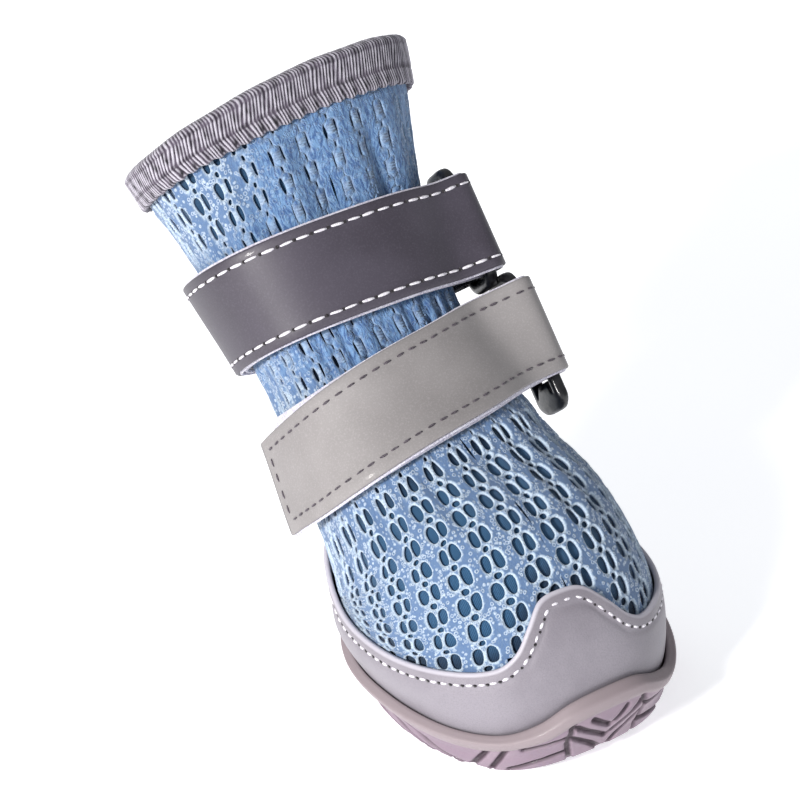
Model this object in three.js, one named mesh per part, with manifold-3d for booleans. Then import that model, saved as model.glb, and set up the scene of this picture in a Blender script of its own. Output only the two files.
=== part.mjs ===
// Dog boot: an air-mesh sock with a leaning shaft, on a moulded rubber cup sole, with a foxing band that
// forms toe cap and heel counter, a knitted collar binding and two straps through rectangular rings.
// Millimetres. The toe points to -Y, the left side is +X, the sole rests on z = 0.
import * as THREE from 'three';
import { mergeVertices } from 'three/addons/utils/BufferGeometryUtils.js';
import Module from 'manifold-3d';

// ---- driving dimensions -----------------------------------------------------------------------------
const wall = 1.8; // thickness of the mesh upper
const gap = 0.3; // clearance between neighbouring pieces
const foxing = 1.2; // thickness of the toe cap and heel counter
const foxingGap = 0.45; // clearance between the foxing and the upper under it
const cupFloor = 5.2; // height of the sole's inner floor
const insoleThickness = 2.0;
const bandWidth = 18.6; // width of both straps
const bandThickness = 1.4;
const bandGap = 0.7; // clearance between a band and the upper under it
const barGap = 0.6; // clearance between a band and the ring's bar that it folds round
const binding = { drop: 5.6, thickness: 1.2 }; // how far the collar binding reaches down, and its tape
const ring = { width: 12.5, bar: 2.1, corner: 2.0, slotCorner: 0.8 };

// The upper's outer skin: one section per row, from inside the sole up to the collar.
// x, y, z: the section's middle; lean: how far its plane tips back, in degrees; halfWidth, front and back:
// how far it reaches from the middle; square: exponent of the outline, 2 is an ellipse.
const sections = [
  { at: 'base', x: 0.8, y: 0, z: 6, lean: 0, halfWidth: 22.6, front: 29.2, back: 27.0, square: 2.25 },
  { at: 'rim', x: 0.6, y: 0, z: 11, lean: 2, halfWidth: 25.0, front: 31.8, back: 29.0, square: 2.25 },
  { at: 'bulge', x: 0, y: 1, z: 18, lean: 6, halfWidth: 27.0, front: 33.0, back: 30.0, square: 2.2 },
  { at: 'vamp', x: 0, y: 4, z: 25, lean: 13, halfWidth: 26.8, front: 32.4, back: 27.4, square: 2.15 },
  { at: 'dome', x: -0.5, y: 10, z: 33, lean: 24, halfWidth: 25.4, front: 28.6, back: 22.4, square: 2.15 },
  { at: 'instep', x: -2, y: 18, z: 41, lean: 34, halfWidth: 22.6, front: 20.5, back: 17.0, square: 2.4 },
  { at: 'ankle', x: -3.6, y: 32, z: 58, lean: 37.5, halfWidth: 19.4, front: 15.2, back: 14.4, square: 2.6 },
  { at: 'calf', x: -4, y: 47, z: 77, lean: 37.5, halfWidth: 22.4, front: 17.0, back: 16.0, square: 2.5 },
  { at: 'collar', x: -2.2, y: 61.5, z: 95.5, lean: 37.5, halfWidth: 28.8, front: 19.4, back: 18.2, square: 2.3 },
];
const collarBow = 1.6; // how much higher the collar stands at the front than at its sides
const collarRise = 2.5; // how much higher it stands at the middle than at the right, and at the left again
const capTurn = -4; // degrees that the toe cap's peak sits off the middle, towards the right

// Heights of the sole's rim and of the foxing's top edge, by angle from the toe centre, in degrees.
const rimHeights = [
  { angle: 0, z: 17.5 },
  { angle: 12, z: 16.6 },
  { angle: 24, z: 13.4 },
  { angle: 38, z: 10.8 },
  { angle: 55, z: 10.2 },
  { angle: 85, z: 11.0 },
  { angle: 120, z: 10.6 },
  { angle: 180, z: 12.5 },
];
const foxingHeights = [
  { angle: 0, z: 35.0 },
  { angle: 8, z: 34.2 },
  { angle: 15, z: 30.8 },
  { angle: 22, z: 26.8 },
  { angle: 30, z: 24.5 },
  { angle: 48, z: 23.3 },
  { angle: 80, z: 22.4 },
  { angle: 98, z: 23.4 },
  { angle: 112, z: 27.0 },
  { angle: 124, z: 28.6 },
  { angle: 150, z: 26.8 },
  { angle: 180, z: 24.0 },
];

// The sole from its tread to its rim: share is the part of the rim's height, out is the distance outside
// the upper's skin.
const soleSide = [
  { share: 0.0, out: -0.6 },
  { share: 0.12, out: 2.9 },
  { share: 0.35, out: 4.1 },
  { share: 0.62, out: 4.5 },
  { share: 0.86, out: 4.4 },
  { share: 0.95, out: 4.2 },
  { share: 1.0, out: 3.3 },
];
const tread = {
  depth: 1.1, groove: 1.9, pitch: 8.6, plainRim: 3.4, middle: 4.3, reach: 38, sweep: 22, apex: 1.2,
};
const toeSpring = { from: -21, over: 11, rise: 2.6 };
const heelSpring = { from: 23, over: 8, rise: 1.2 };
const arch = { from: 5, to: 13, rise: 0.9 };

// Straps, measured down the shaft from the collar. tilt is how much higher the left end sits; root and tip
// are the angles where the strap starts and ends; droop is how far the tip hangs below the strap's line.
// barX and barFore place the ring's front bar, to the left and to the front of the shaft's middle; ringLength
// and ringDrop are the ring's length and how far its middle sits below the strap's.
const straps = [
  {
    level: 'upper', below: 31.8, tilt: -0.8, root: -168, tip: -152, droop: 0,
    barX: 25.3, barFore: 11.5, ringLength: 24.2, ringDrop: 0,
  },
  {
    level: 'lower', below: 57.9, tilt: 3.2, root: -168, tip: -104, droop: 3,
    barX: 27.0, barFore: 12.5, ringLength: 27.8, ringDrop: 2.1,
  },
];
const strapColours = { upper: 0x5f5a66, lower: 0xb3aeac };
const ringTurn = 5; // degrees that a ring's plane opens outwards towards the heel
const leaveFront = 46; // angle where a strap leaves the shaft for its ring
const leaveBack = 112; // angle where a ring tab leaves it
const foldRadius = ring.bar * Math.SQRT1_2 + barGap + bandThickness / 2; // of a band round a ring's bar

// ---- the upper's skin -------------------------------------------------------------------------------
const lastRow = sections.length - 1;

// Smooth value of one column of the section table at level v, where v counts rows.
function column(name, v) {
  const row = Math.min(Math.max(Math.floor(v), 0), lastRow - 1);
  const t = v - row;
  const pick = (i) => {
    if (i < 0) return 2 * sections[0][name] - sections[1][name];
    if (i > lastRow) return 2 * sections[lastRow][name] - sections[lastRow - 1][name];
    return sections[i][name];
  };
  const [a, b, c, d] = [pick(row - 1), pick(row), pick(row + 1), pick(row + 2)];
  return b + 0.5 * t * (c - a + t * (2 * a - 5 * b + 4 * c - d + t * (3 * (b - c) + d - a)));
}

const rad = THREE.MathUtils.degToRad;
const power = (value, exponent) => Math.sign(value) * Math.abs(value) ** exponent;

// Directions of the section's plane: back along it, and up along the shaft.
function plane(v) {
  const lean = rad(column('lean', v));
  return {
    back: new THREE.Vector3(0, Math.cos(lean), -Math.sin(lean)),
    up: new THREE.Vector3(0, Math.sin(lean), Math.cos(lean)),
  };
}

function middle(v) {
  return new THREE.Vector3(column('x', v), column('y', v), column('z', v));
}

// Point of the skin at an angle from the toe centre (towards the left side) and a level.
function skinPoint(angle, v) {
  const side = Math.sin(rad(angle));
  const fore = Math.cos(rad(angle));
  const curve = 2 / column('square', v);
  const depth = fore > 0 ? column('front', v) : column('back', v);
  const { back, up } = plane(v);
  const rise = collarBow * fore * Math.max(fore, 0) + collarRise * (1 + side);
  const bow = rise * Math.max(v - lastRow + 1, 0) ** 2;
  return middle(v)
    .add(new THREE.Vector3(column('halfWidth', v) * power(side, curve), 0, 0))
    .addScaledVector(back, -depth * power(fore, curve))
    .addScaledVector(up, bow);
}

function skinNormal(angle, v) {
  const along = skinPoint(angle + 1, v).sub(skinPoint(angle - 1, v));
  const step = 0.02;
  const upward = skinPoint(angle, Math.min(v + step, lastRow + 1)).sub(skinPoint(angle, v - step));
  return along.cross(upward).normalize();
}

// Point at a distance outside the skin, or inside it where the distance is negative.
function offSkin(angle, v, out) {
  return skinPoint(angle, v).addScaledVector(skinNormal(angle, v), out);
}

// Level at which the skin reaches a height, in the part below the ankle.
function levelAtHeight(angle, z) {
  let [low, high] = [-1, lastRow];
  for (let i = 0; i < 24; i += 1) {
    const mid = (low + high) / 2;
    if (skinPoint(angle, mid).z < z) low = mid;
    else high = mid;
  }
  return low;
}

// Level whose middle lies a distance down the shaft from the collar.
function levelBelowCollar(distance) {
  let [low, high] = [0, lastRow];
  const top = middle(lastRow);
  for (let i = 0; i < 24; i += 1) {
    const mid = (low + high) / 2;
    if (middle(mid).distanceTo(top) > distance) low = mid;
    else high = mid;
  }
  return low;
}

// Value of a table by angle, mirrored to both sides, with flat tangents at its ends.
function aroundTable(table, angle) {
  const turn = Math.abs(((angle + 180) % 360 + 360) % 360 - 180);
  let i = 0;
  while (i < table.length - 2 && turn > table[i + 1].angle) i += 1;
  const slope = (k) => {
    if (k <= 0 || k >= table.length - 1) return 0;
    return (table[k + 1].z - table[k - 1].z) / (table[k + 1].angle - table[k - 1].angle);
  };
  const span = table[i + 1].angle - table[i].angle;
  const t = (turn - table[i].angle) / span;
  const [h0, h1] = [slope(i) * span, slope(i + 1) * span];
  const [z0, z1] = [table[i].z, table[i + 1].z];
  return z0 + t * (h0 + t * (3 * (z1 - z0) - 2 * h0 - h1 + t * (2 * (z0 - z1) + h0 + h1)));
}

const rimHeight = (angle) => aroundTable(rimHeights, angle);
const foxingHeight = (angle) => aroundTable(foxingHeights, angle - capTurn);

// ---- mesh helpers -----------------------------------------------------------------------------------
const anglesAround = (count) => Array.from({ length: count }, (_, i) => (360 * i) / count);

// Body through rings of points. A loop joins the last ring to the first, otherwise both ends are capped.
function ringBody(rings, loop) {
  const count = rings[0].length;
  const points = rings.flat();
  const faces = [];
  const rows = loop ? rings.length : rings.length - 1;
  for (let r = 0; r < rows; r += 1) {
    const next = (r + 1) % rings.length;
    for (let i = 0; i < count; i += 1) {
      const j = (i + 1) % count;
      faces.push(r * count + i, r * count + j, next * count + j);
      faces.push(r * count + i, next * count + j, next * count + i);
    }
  }
  if (!loop) {
    const cap = (r, flip) => {
      const centre = rings[r].reduce((sum, p) => sum.add(p), new THREE.Vector3()).divideScalar(count);
      points.push(centre);
      const c = points.length - 1;
      for (let i = 0; i < count; i += 1) {
        const [a, b] = [r * count + i, r * count + ((i + 1) % count)];
        faces.push(c, flip ? b : a, flip ? a : b);
      }
    };
    cap(0, true);
    cap(rings.length - 1, false);
  }
  return bodyFrom(points, faces);
}

function bodyFrom(points, faces) {
  const geometry = new THREE.BufferGeometry();
  const flat = points.flatMap((p) => [p.x, p.y, p.z]);
  geometry.setAttribute('position', new THREE.Float32BufferAttribute(flat, 3));
  geometry.setIndex(faces);
  return geometry;
}

function named(name, geometry, colour, roughness = 0.8) {
  const material = new THREE.MeshStandardMaterial({ color: colour, roughness, metalness: 0 });
  geometry.computeVertexNormals();
  const mesh = new THREE.Mesh(geometry, material);
  mesh.name = name;
  return mesh;
}

// ---- boolean joins and cuts -------------------------------------------------------------------------
const wasm = await Module();
wasm.setup();

function toSolid(geometry) {
  const bare = geometry.clone();
  bare.deleteAttribute('normal');
  bare.deleteAttribute('uv');
  const merged = mergeVertices(bare, 1e-4);
  const vertProperties = new Float32Array(merged.attributes.position.array);
  const triVerts = new Uint32Array(merged.index.array);
  return new wasm.Manifold(new wasm.Mesh({ numProp: 3, vertProperties, triVerts }));
}

function fromSolid(solid) {
  const { vertProperties, triVerts } = solid.getMesh();
  const geometry = new THREE.BufferGeometry();
  geometry.setAttribute('position', new THREE.Float32BufferAttribute(vertProperties, 3));
  geometry.setIndex(new THREE.Uint32BufferAttribute(triVerts, 1));
  return geometry;
}

// ---- upper ------------------------------------------------------------------------------------------
function makeUpper() {
  const angles = anglesAround(44);
  const foot = cupFloor + gap;
  const levels = [0.0, 0.6, 1.2, 1.8, 2.4, 3.0, 3.6, 4.2, 4.7, 5.2, 5.8, 6.4, 7.1, 8.0];
  const ringAt = (v, out) => angles.map((angle) => {
    const level = v === 0 ? levelAtHeight(angle, foot) : v;
    const point = offSkin(angle, level, out);
    if (v === 0) point.z = foot;
    return point;
  });
  const outside = levels.map((v) => ringAt(v, 0));
  const inside = levels.map((v) => ringAt(v, -wall)).reverse();
  return named('upper', ringBody([...outside, ...inside], true), 0x8fb6dc, 0.9);
}

// ---- outsole ----------------------------------------------------------------------------------------
// Height of the sole's underside along the foot: two flats with an arch between, rising at both ends.
function underside(y) {
  if (y < toeSpring.from) return toeSpring.rise * ((toeSpring.from - y) / toeSpring.over) ** 2;
  if (y > heelSpring.from) return heelSpring.rise * ((y - heelSpring.from) / heelSpring.over) ** 2;
  const t = (y - arch.from) / (arch.to - arch.from);
  return t > 0 && t < 1 ? arch.rise * Math.sin(Math.PI * t) : 0;
}

// The sole's form. With an inset it is the solid core that the tread's channels stop at: drawn in under
// the tread, a little outside the plain rim, and filled.
function soleForm(inset) {
  const angles = anglesAround(52);
  const base = (angle) => offSkin(angle, 0, -0.6 - inset);
  const underRing = (share) => angles.map((angle) => {
    const p = base(angle).multiplyScalar(share);
    return new THREE.Vector3(p.x, p.y, underside(p.y) + inset);
  });
  const sideRing = ({ share, out }) => angles.map((angle) => {
    const rim = rimHeight(angle);
    const start = underside(base(angle).y) + inset;
    const z = start + (rim - start) * share;
    const onRim = z > rim - tread.plainRim;
    const shift = onRim && inset > 0 ? 0.3 : -inset;
    return offSkin(angle, levelAtHeight(angle, Math.max(z, 5)), out + shift).setZ(z);
  });
  const under = [0.1, 0.3, 0.66, 0.9].map(underRing);
  const side = soleSide.map(sideRing);
  if (inset > 0) {
    const lid = side[side.length - 1].map((p) => p.clone().setZ(p.z + 1));
    return ringBody([...under, ...side, lid], false);
  }
  const inner = foxing + foxingGap + gap + 0.15;
  const wallRing = (share) => angles.map((angle) => {
    const z = 6.1 + (rimHeight(angle) - 6.3) * share;
    return offSkin(angle, levelAtHeight(angle, z), inner);
  });
  const cupFoot = angles.map((angle) => offSkin(angle, levelAtHeight(angle, 5.6), gap).setZ(cupFloor));
  const cup = [1, 0.6, 0.25, 0].map(wallRing);
  return ringBody([...under, ...side, ...cup, cupFoot], false);
}

// A straight channel seen from below, from one point of the tread to another.
function channel(from, to, width) {
  const along = new THREE.Vector2().subVectors(to, from);
  const box = new THREE.BoxGeometry(along.length() + width, width, 60);
  box.rotateZ(Math.atan2(along.y, along.x));
  const centre = new THREE.Vector2().addVectors(from, to).multiplyScalar(0.5);
  return box.translate(centre.x, centre.y, 0);
}

function makeOutsole() {
  const form = toSolid(soleForm(0));
  const core = toSolid(soleForm(tread.depth));
  const channels = [];
  for (let row = -3; row <= 3; row += 1) {
    const y = tread.middle + row * tread.pitch;
    const point = row < 1 ? 1 : -1;
    for (const side of [-1, 1]) {
      const apex = new THREE.Vector2(side * tread.apex, y);
      const end = new THREE.Vector2(side * tread.reach, y - point * tread.sweep);
      channels.push(channel(apex, end, tread.groove));
    }
  }
  let cutters = toSolid(channels[0]);
  for (const piece of channels.slice(1)) cutters = cutters.add(toSolid(piece));
  const pieces = form.subtract(cutters.subtract(core)).decompose();
  pieces.sort((a, b) => b.volume() - a.volume());
  return named('outsole', fromSolid(pieces[0]), 0xa99aa4, 0.75);
}

// ---- insole -----------------------------------------------------------------------------------------
function makeInsole() {
  const angles = anglesAround(40);
  const foot = cupFloor + gap;
  const ringAt = (z, out) => angles.map((angle) => (
    offSkin(angle, levelAtHeight(angle, Math.max(z, foot)), out).setZ(z)
  ));
  const edge = -wall - gap - 0.2;
  const rings = [ringAt(foot, edge - 0.6), ringAt(foot + insoleThickness, edge - 0.4)];
  return named('insole', ringBody(rings, false), 0x6f7076, 0.95);
}

// ---- foxing: toe cap, side bands and heel counter in one piece ---------------------------------------
function makeFoxing() {
  const angles = [];
  for (let angle = 0; angle < 360; angle += (angle < 40 || angle >= 320 ? 4 : 7)) angles.push(angle);
  const ringAt = (share, out) => angles.map((angle) => {
    const low = levelAtHeight(angle, 7.2);
    const high = levelAtHeight(angle, foxingHeight(angle));
    return offSkin(angle, low + (high - low) * share, out);
  });
  const shares = [0, 0.2, 0.4, 0.6, 0.8, 1];
  const outside = shares.map((share) => ringAt(share, foxingGap + foxing));
  const inside = shares.map((share) => ringAt(share, foxingGap)).reverse();
  return named('foxing', ringBody([...outside, ...inside], true), 0xa9a2ab, 0.6);
}

// ---- collar binding: a knitted tape folded over the collar's edge -----------------------------------
function makeBinding() {
  const angles = anglesAround(44);
  const tape = binding.thickness;
  const [near, far] = [gap, -wall - gap];
  const shaftStep = middle(lastRow).distanceTo(middle(lastRow - 1));
  const profile = [
    { drop: binding.drop, out: near },
    { drop: binding.drop, out: near + tape },
    { drop: 0, out: near + tape },
    { drop: -gap - tape, out: near + tape * 0.3 },
    { drop: -gap - tape, out: far - tape * 0.3 },
    { drop: 0, out: far - tape },
    { drop: binding.drop - 1, out: far - tape },
    { drop: binding.drop - 1, out: far },
    { drop: -gap, out: far },
    { drop: -gap, out: near },
  ];
  const rings = profile.map(({ drop, out }) => angles.map((angle) => {
    const level = lastRow - Math.max(drop, 0) / shaftStep;
    const lift = plane(lastRow).up.multiplyScalar(Math.max(-drop, 0));
    return offSkin(angle, level, out).add(lift);
  }));
  return named('collar_binding', ringBody(rings, true), 0xc3bfc8, 0.95);
}

// ---- straps, rings and ring tabs --------------------------------------------------------------------
// The frame of a ring: its front bar, its direction towards the heel, outward, and up the shaft.
function ringFrame({ below, tilt, barX, barFore }) {
  const level = levelBelowCollar(below - tilt);
  const { up, back } = plane(level);
  const round = back.clone().multiplyScalar(Math.cos(rad(ringTurn)));
  round.x = Math.sin(rad(ringTurn));
  const bar = middle(level).addScaledVector(back, -barFore);
  bar.x += barX;
  return { bar, round, out: new THREE.Vector3().crossVectors(round, up), up };
}

// Point of a band on the shaft: side runs from -1 at its lower edge to 1 at its upper edge.
function bandPoint(strap, angle, side, out, droop = 0) {
  const below = strap.below - strap.tilt * Math.sin(rad(angle)) - (side * bandWidth) / 2 + droop;
  return offSkin(angle, levelBelowCollar(below), out);
}

// Ribbon of the band's thickness through rows of centre points, one row for each line along the band.
function ribbon(lines) {
  const count = lines[0].length;
  const half = bandThickness / 2;
  const normalAt = (k, i) => {
    const ahead = lines[k][Math.min(i + 1, count - 1)].clone().sub(lines[k][Math.max(i - 1, 0)]);
    const across = lines[lines.length - 1][i].clone().sub(lines[0][i]);
    return ahead.cross(across).normalize();
  };
  const rings = [];
  for (let i = 0; i < count; i += 1) {
    const face = (sign) => lines.map((line, k) => line[i].clone().addScaledVector(normalAt(k, i), sign * half));
    rings.push([...face(-1), ...face(1).reverse()]);
  }
  return ringBody(rings, false);
}

// Half turn of a band round one bar of a ring, for a band that comes from a point on the shaft.
function foldPoints(frame, bar, start, side) {
  const ahead = bar.clone().sub(start);
  ahead.addScaledVector(frame.up, -ahead.dot(frame.up)).normalize();
  const outward = new THREE.Vector3().crossVectors(ahead, frame.up);
  return [-90, -60, -30, 0, 30, 60, 90].map((turn) => bar.clone()
    .addScaledVector(ahead, foldRadius * Math.cos(rad(turn)))
    .addScaledVector(outward, foldRadius * Math.sin(rad(turn)))
    .addScaledVector(frame.up, (side * bandWidth) / 2));
}

// Band that starts on the shaft, leaves it for a ring's bar, folds round the bar and comes back over itself.
// way is 1 for a band that comes from the front and -1 for one that comes from the heel.
function foldedBand(strap, { from, to, leave, way, step }) {
  const near = bandGap + bandThickness / 2;
  const far = near + bandThickness + gap;
  const frame = ringFrame(strap);
  const bar = way > 0 ? frame.bar : frame.bar.clone().addScaledVector(frame.round, ring.width - ring.bar);
  const lines = [-1, 0, 1].map((side) => {
    const layer = (end, out, droop) => {
      const count = Math.ceil(Math.abs(leave - end) / step);
      return Array.from({ length: count + 1 }, (_, i) => (
        bandPoint(strap, end + ((leave - end) * i) / count, side, out, droop * (1 - i / count) ** 4)
      ));
    };
    const under = layer(from, near, 0);
    const over = layer(to, far, way > 0 ? strap.droop : 0).reverse();
    const start = bandPoint(strap, leave, 0, near);
    return [...under, ...foldPoints(frame, bar, start, side), ...over];
  });
  return ribbon(lines);
}

function makeStrap(strap) {
  const run = { from: strap.root, to: strap.tip, leave: leaveFront, way: 1, step: 8 };
  const geometry = foldedBand(strap, run);
  return named(`strap_${strap.level}`, geometry, strapColours[strap.level], 0.5);
}

function makeTab(strap) {
  const run = { from: 168, to: 160, leave: leaveBack, way: -1, step: 8 };
  const geometry = foldedBand(strap, run);
  return named(`ring_tab_${strap.level}`, geometry, 0x24252a, 0.9);
}

function makeRing(strap) {
  const outline = (length, width, corner) => {
    const [x, y] = [width / 2, length / 2];
    const shape = new THREE.Shape();
    shape.moveTo(-x + corner, -y);
    shape.lineTo(x - corner, -y);
    shape.absarc(x - corner, -y + corner, corner, -Math.PI / 2, 0, false);
    shape.lineTo(x, y - corner);
    shape.absarc(x - corner, y - corner, corner, 0, Math.PI / 2, false);
    shape.lineTo(-x + corner, y);
    shape.absarc(-x + corner, y - corner, corner, Math.PI / 2, Math.PI, false);
    shape.lineTo(-x, -y + corner);
    shape.absarc(-x + corner, -y + corner, corner, Math.PI, 1.5 * Math.PI, false);
    return shape;
  };
  const shape = outline(strap.ringLength, ring.width, ring.corner);
  const slot = outline(strap.ringLength - 2 * ring.bar, ring.width - 2 * ring.bar, ring.slotCorner);
  shape.holes.push(slot);
  const settings = { depth: ring.bar, bevelEnabled: false, curveSegments: 3 };
  const geometry = new THREE.ExtrudeGeometry(shape, settings).translate(0, 0, -ring.bar / 2);
  const mesh = named(`ring_${strap.level}`, geometry, 0x15161a, 0.4);
  const { bar, round, up } = ringFrame(strap);
  const face = new THREE.Vector3().crossVectors(round, up);
  mesh.quaternion.setFromRotationMatrix(new THREE.Matrix4().makeBasis(round, up, face));
  mesh.position.copy(bar).addScaledVector(round, (ring.width - ring.bar) / 2);
  mesh.position.addScaledVector(up, -strap.ringDrop);
  return mesh;
}

// ---- the boot ---------------------------------------------------------------------------------------
const boot = new THREE.Group();
boot.add(makeOutsole(), makeInsole(), makeUpper(), makeFoxing(), makeBinding());
for (const strap of straps) boot.add(makeStrap(strap), makeRing(strap), makeTab(strap));

export default boot;
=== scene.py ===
# Dog boot: an air-mesh sock on a rubber cup sole, with foxing, collar binding, two straps and their rings.
# Shapes are worked out in millimetres on the boot's own skin and turned into metres when a mesh is made.
import math
import random

import bmesh
import bpy
import numpy as np
from mathutils import Matrix, Vector
from mathutils.geometry import delaunay_2d_cdt


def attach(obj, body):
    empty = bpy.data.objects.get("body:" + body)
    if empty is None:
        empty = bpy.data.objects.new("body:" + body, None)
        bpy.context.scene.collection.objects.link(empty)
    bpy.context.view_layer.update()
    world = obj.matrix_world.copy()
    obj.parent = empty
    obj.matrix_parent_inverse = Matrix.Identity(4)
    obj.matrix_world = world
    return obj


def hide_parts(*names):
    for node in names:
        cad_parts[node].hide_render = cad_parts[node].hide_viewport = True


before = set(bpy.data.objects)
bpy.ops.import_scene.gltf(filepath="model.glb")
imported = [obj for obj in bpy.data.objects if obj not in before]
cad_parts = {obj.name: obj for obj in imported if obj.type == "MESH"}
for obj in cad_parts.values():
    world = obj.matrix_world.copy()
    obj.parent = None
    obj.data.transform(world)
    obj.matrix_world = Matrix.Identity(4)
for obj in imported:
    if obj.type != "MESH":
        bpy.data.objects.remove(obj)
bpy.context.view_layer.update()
print("frame loaded:", len(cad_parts), "nodes")

mm = 0.001
dice = random.Random(7)

# the boot's skin, the same sizes as the solids
# x, y, z: middle of the section; lean: how far its plane tips back; square: exponent of its outline
skinSections = [
    dict(at="base", x=0.8, y=0, z=6, lean=0, halfWidth=22.6, front=29.2, back=27.0, square=2.25),
    dict(at="rim", x=0.6, y=0, z=11, lean=2, halfWidth=25.0, front=31.8, back=29.0, square=2.25),
    dict(at="bulge", x=0, y=1, z=18, lean=6, halfWidth=27.0, front=33.0, back=30.0, square=2.2),
    dict(at="vamp", x=0, y=4, z=25, lean=13, halfWidth=26.8, front=32.4, back=27.4, square=2.15),
    dict(at="dome", x=-0.5, y=10, z=33, lean=24, halfWidth=25.4, front=28.6, back=22.4, square=2.15),
    dict(at="instep", x=-2, y=18, z=41, lean=34, halfWidth=22.6, front=20.5, back=17.0, square=2.4),
    dict(at="ankle", x=-3.6, y=32, z=58, lean=37.5, halfWidth=19.4, front=15.2, back=14.4, square=2.6),
    dict(at="calf", x=-4, y=47, z=77, lean=37.5, halfWidth=22.4, front=17.0, back=16.0, square=2.5),
    dict(at="collar", x=-2.2, y=61.5, z=95.5, lean=37.5, halfWidth=28.8, front=19.4, back=18.2, square=2.3),
]
skinColumns = {key: np.array([row[key] for row in skinSections], float)
               for key in skinSections[0] if key != "at"}
topLevel = len(skinSections) - 1
collarBow = 1.6    # how much higher the collar stands at the front
collarRise = 2.5   # how much higher it stands at the middle than at the right, and at the left again
capTurn = -4       # degrees that the toe cap's peak sits off the middle

rimHeights = [(0, 17.5), (12, 16.6), (24, 13.4), (38, 10.8), (55, 10.2), (85, 11.0),
              (120, 10.6), (180, 12.5)]
foxingHeights = [(0, 35.0), (8, 34.2), (15, 30.8), (22, 26.8), (30, 24.5), (48, 23.3), (80, 22.4),
                 (98, 23.4), (112, 27.0), (124, 28.6), (150, 26.8), (180, 24.0)]


def column(key, level):
    values = skinColumns[key]
    ends = np.concatenate(([2 * values[0] - values[1]], values, [2 * values[-1] - values[-2]]))
    row = np.clip(np.floor(level), 0, topLevel - 1).astype(int)
    t = level - row
    a, b, c, d = (ends[row + k] for k in range(4))
    return b + 0.5 * t * (c - a + t * (2 * a - 5 * b + 4 * c - d + t * (3 * (b - c) + d - a)))


def unit(vectors):
    return vectors / np.maximum(np.linalg.norm(vectors, axis=-1, keepdims=True), 1e-9)


def smooth(low, high, value):
    t = np.clip((value - low) / (high - low), 0, 1)
    return t * t * (3 - 2 * t)


def middleLine(level):
    level = np.asarray(level, float)
    return np.stack([column(key, level) for key in "xyz"], axis=-1)


def sectionPlane(level):
    lean = np.radians(column("lean", np.asarray(level, float)))
    nothing = np.zeros_like(lean)
    back = np.stack([nothing, np.cos(lean), -np.sin(lean)], axis=-1)
    up = np.stack([nothing, np.sin(lean), np.cos(lean)], axis=-1)
    return back, up


# point of the skin: angle is from the toe centre towards the left side, level counts the sections
def skin(angle, level):
    angle, level = np.broadcast_arrays(np.asarray(angle, float), np.asarray(level, float))
    side, fore = np.sin(np.radians(angle)), np.cos(np.radians(angle))
    curve = 2 / column("square", level)
    depth = np.where(fore > 0, column("front", level), column("back", level))
    across = column("halfWidth", level) * np.sign(side) * np.abs(side) ** curve
    along = -depth * np.sign(fore) * np.abs(fore) ** curve
    rise = collarBow * fore * np.maximum(fore, 0) + collarRise * (1 + side)
    bow = rise * np.maximum(level - topLevel + 1, 0) ** 2
    back, up = sectionPlane(level)
    points = middleLine(level) + back * along[..., None] + up * bow[..., None]
    points[..., 0] += across
    return points


def skinNormal(angle, level):
    along = skin(angle + 1, level) - skin(angle - 1, level)
    upward = skin(angle, np.minimum(level + 0.02, topLevel + 1)) - skin(angle, level - 0.02)
    return unit(np.cross(along, upward))


def offSkin(angle, level, out):
    angle, level, out = np.broadcast_arrays(*(np.asarray(k, float) for k in (angle, level, out)))
    return skin(angle, level) + skinNormal(angle, level) * out[..., None]


def levelAtHeight(angle, height):
    angle, height = np.broadcast_arrays(np.asarray(angle, float), np.asarray(height, float))
    low, high = np.full(angle.shape, -1.0), np.full(angle.shape, float(topLevel))
    for _ in range(24):
        half = (low + high) / 2
        under = skin(angle, half)[..., 2] < height
        low, high = np.where(under, half, low), np.where(under, high, half)
    return low


lineLevels = np.linspace(0, topLevel, 2001)
lineDrops = np.linalg.norm(middleLine(lineLevels) - middleLine(topLevel), axis=-1)


def levelBelow(distance):
    return np.interp(distance, lineDrops[::-1], lineLevels[::-1])


def belowCollar(level):
    return np.interp(level, lineLevels, lineDrops)


# value of a table by angle, alike on both sides, with flat ends
def aroundTable(table, angle):
    angles, heights = np.array(table, float).T
    turn = np.abs((np.asarray(angle, float) + 180) % 360 - 180)
    slopes = np.zeros(len(angles))
    slopes[1:-1] = (heights[2:] - heights[:-2]) / (angles[2:] - angles[:-2])
    i = np.clip(np.searchsorted(angles, turn) - 1, 0, len(angles) - 2)
    span = angles[i + 1] - angles[i]
    t = (turn - angles[i]) / span
    s0, s1, z0, z1 = slopes[i] * span, slopes[i + 1] * span, heights[i], heights[i + 1]
    return z0 + t * (s0 + t * (3 * (z1 - z0) - 2 * s0 - s1 + t * (2 * (z0 - z1) + s0 + s1)))


# the cloth's own map: turn runs once round the boot, drop is the distance down from the collar
clothReach = 135   # how far down from the collar the map goes, past the toe
mapLevels = np.linspace(0.3, topLevel, 400)
mapTurns = np.linspace(0, 1, 721)
fineAngles = np.linspace(0, 360, 1441)
around = skin(fineAngles[None, :], mapLevels[:, None])
run = np.concatenate([np.zeros((len(mapLevels), 1)),
                      np.cumsum(np.linalg.norm(np.diff(around, axis=1), axis=-1), axis=1)], axis=1)
mapAngles = np.array([np.interp(mapTurns, row / row[-1], fineAngles) for row in run])
steps = np.linalg.norm(np.diff(skin(mapAngles, mapLevels[:, None]), axis=0), axis=-1)
mapDrops = np.concatenate([np.cumsum(steps[::-1], axis=0)[::-1], np.zeros((1, len(mapTurns)))], axis=0)
dropSteps = np.linspace(0, clothReach, 541)
mapDown = np.array([np.interp(dropSteps, mapDrops[::-1, k], mapLevels[::-1])
                    for k in range(len(mapTurns))]).T


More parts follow.
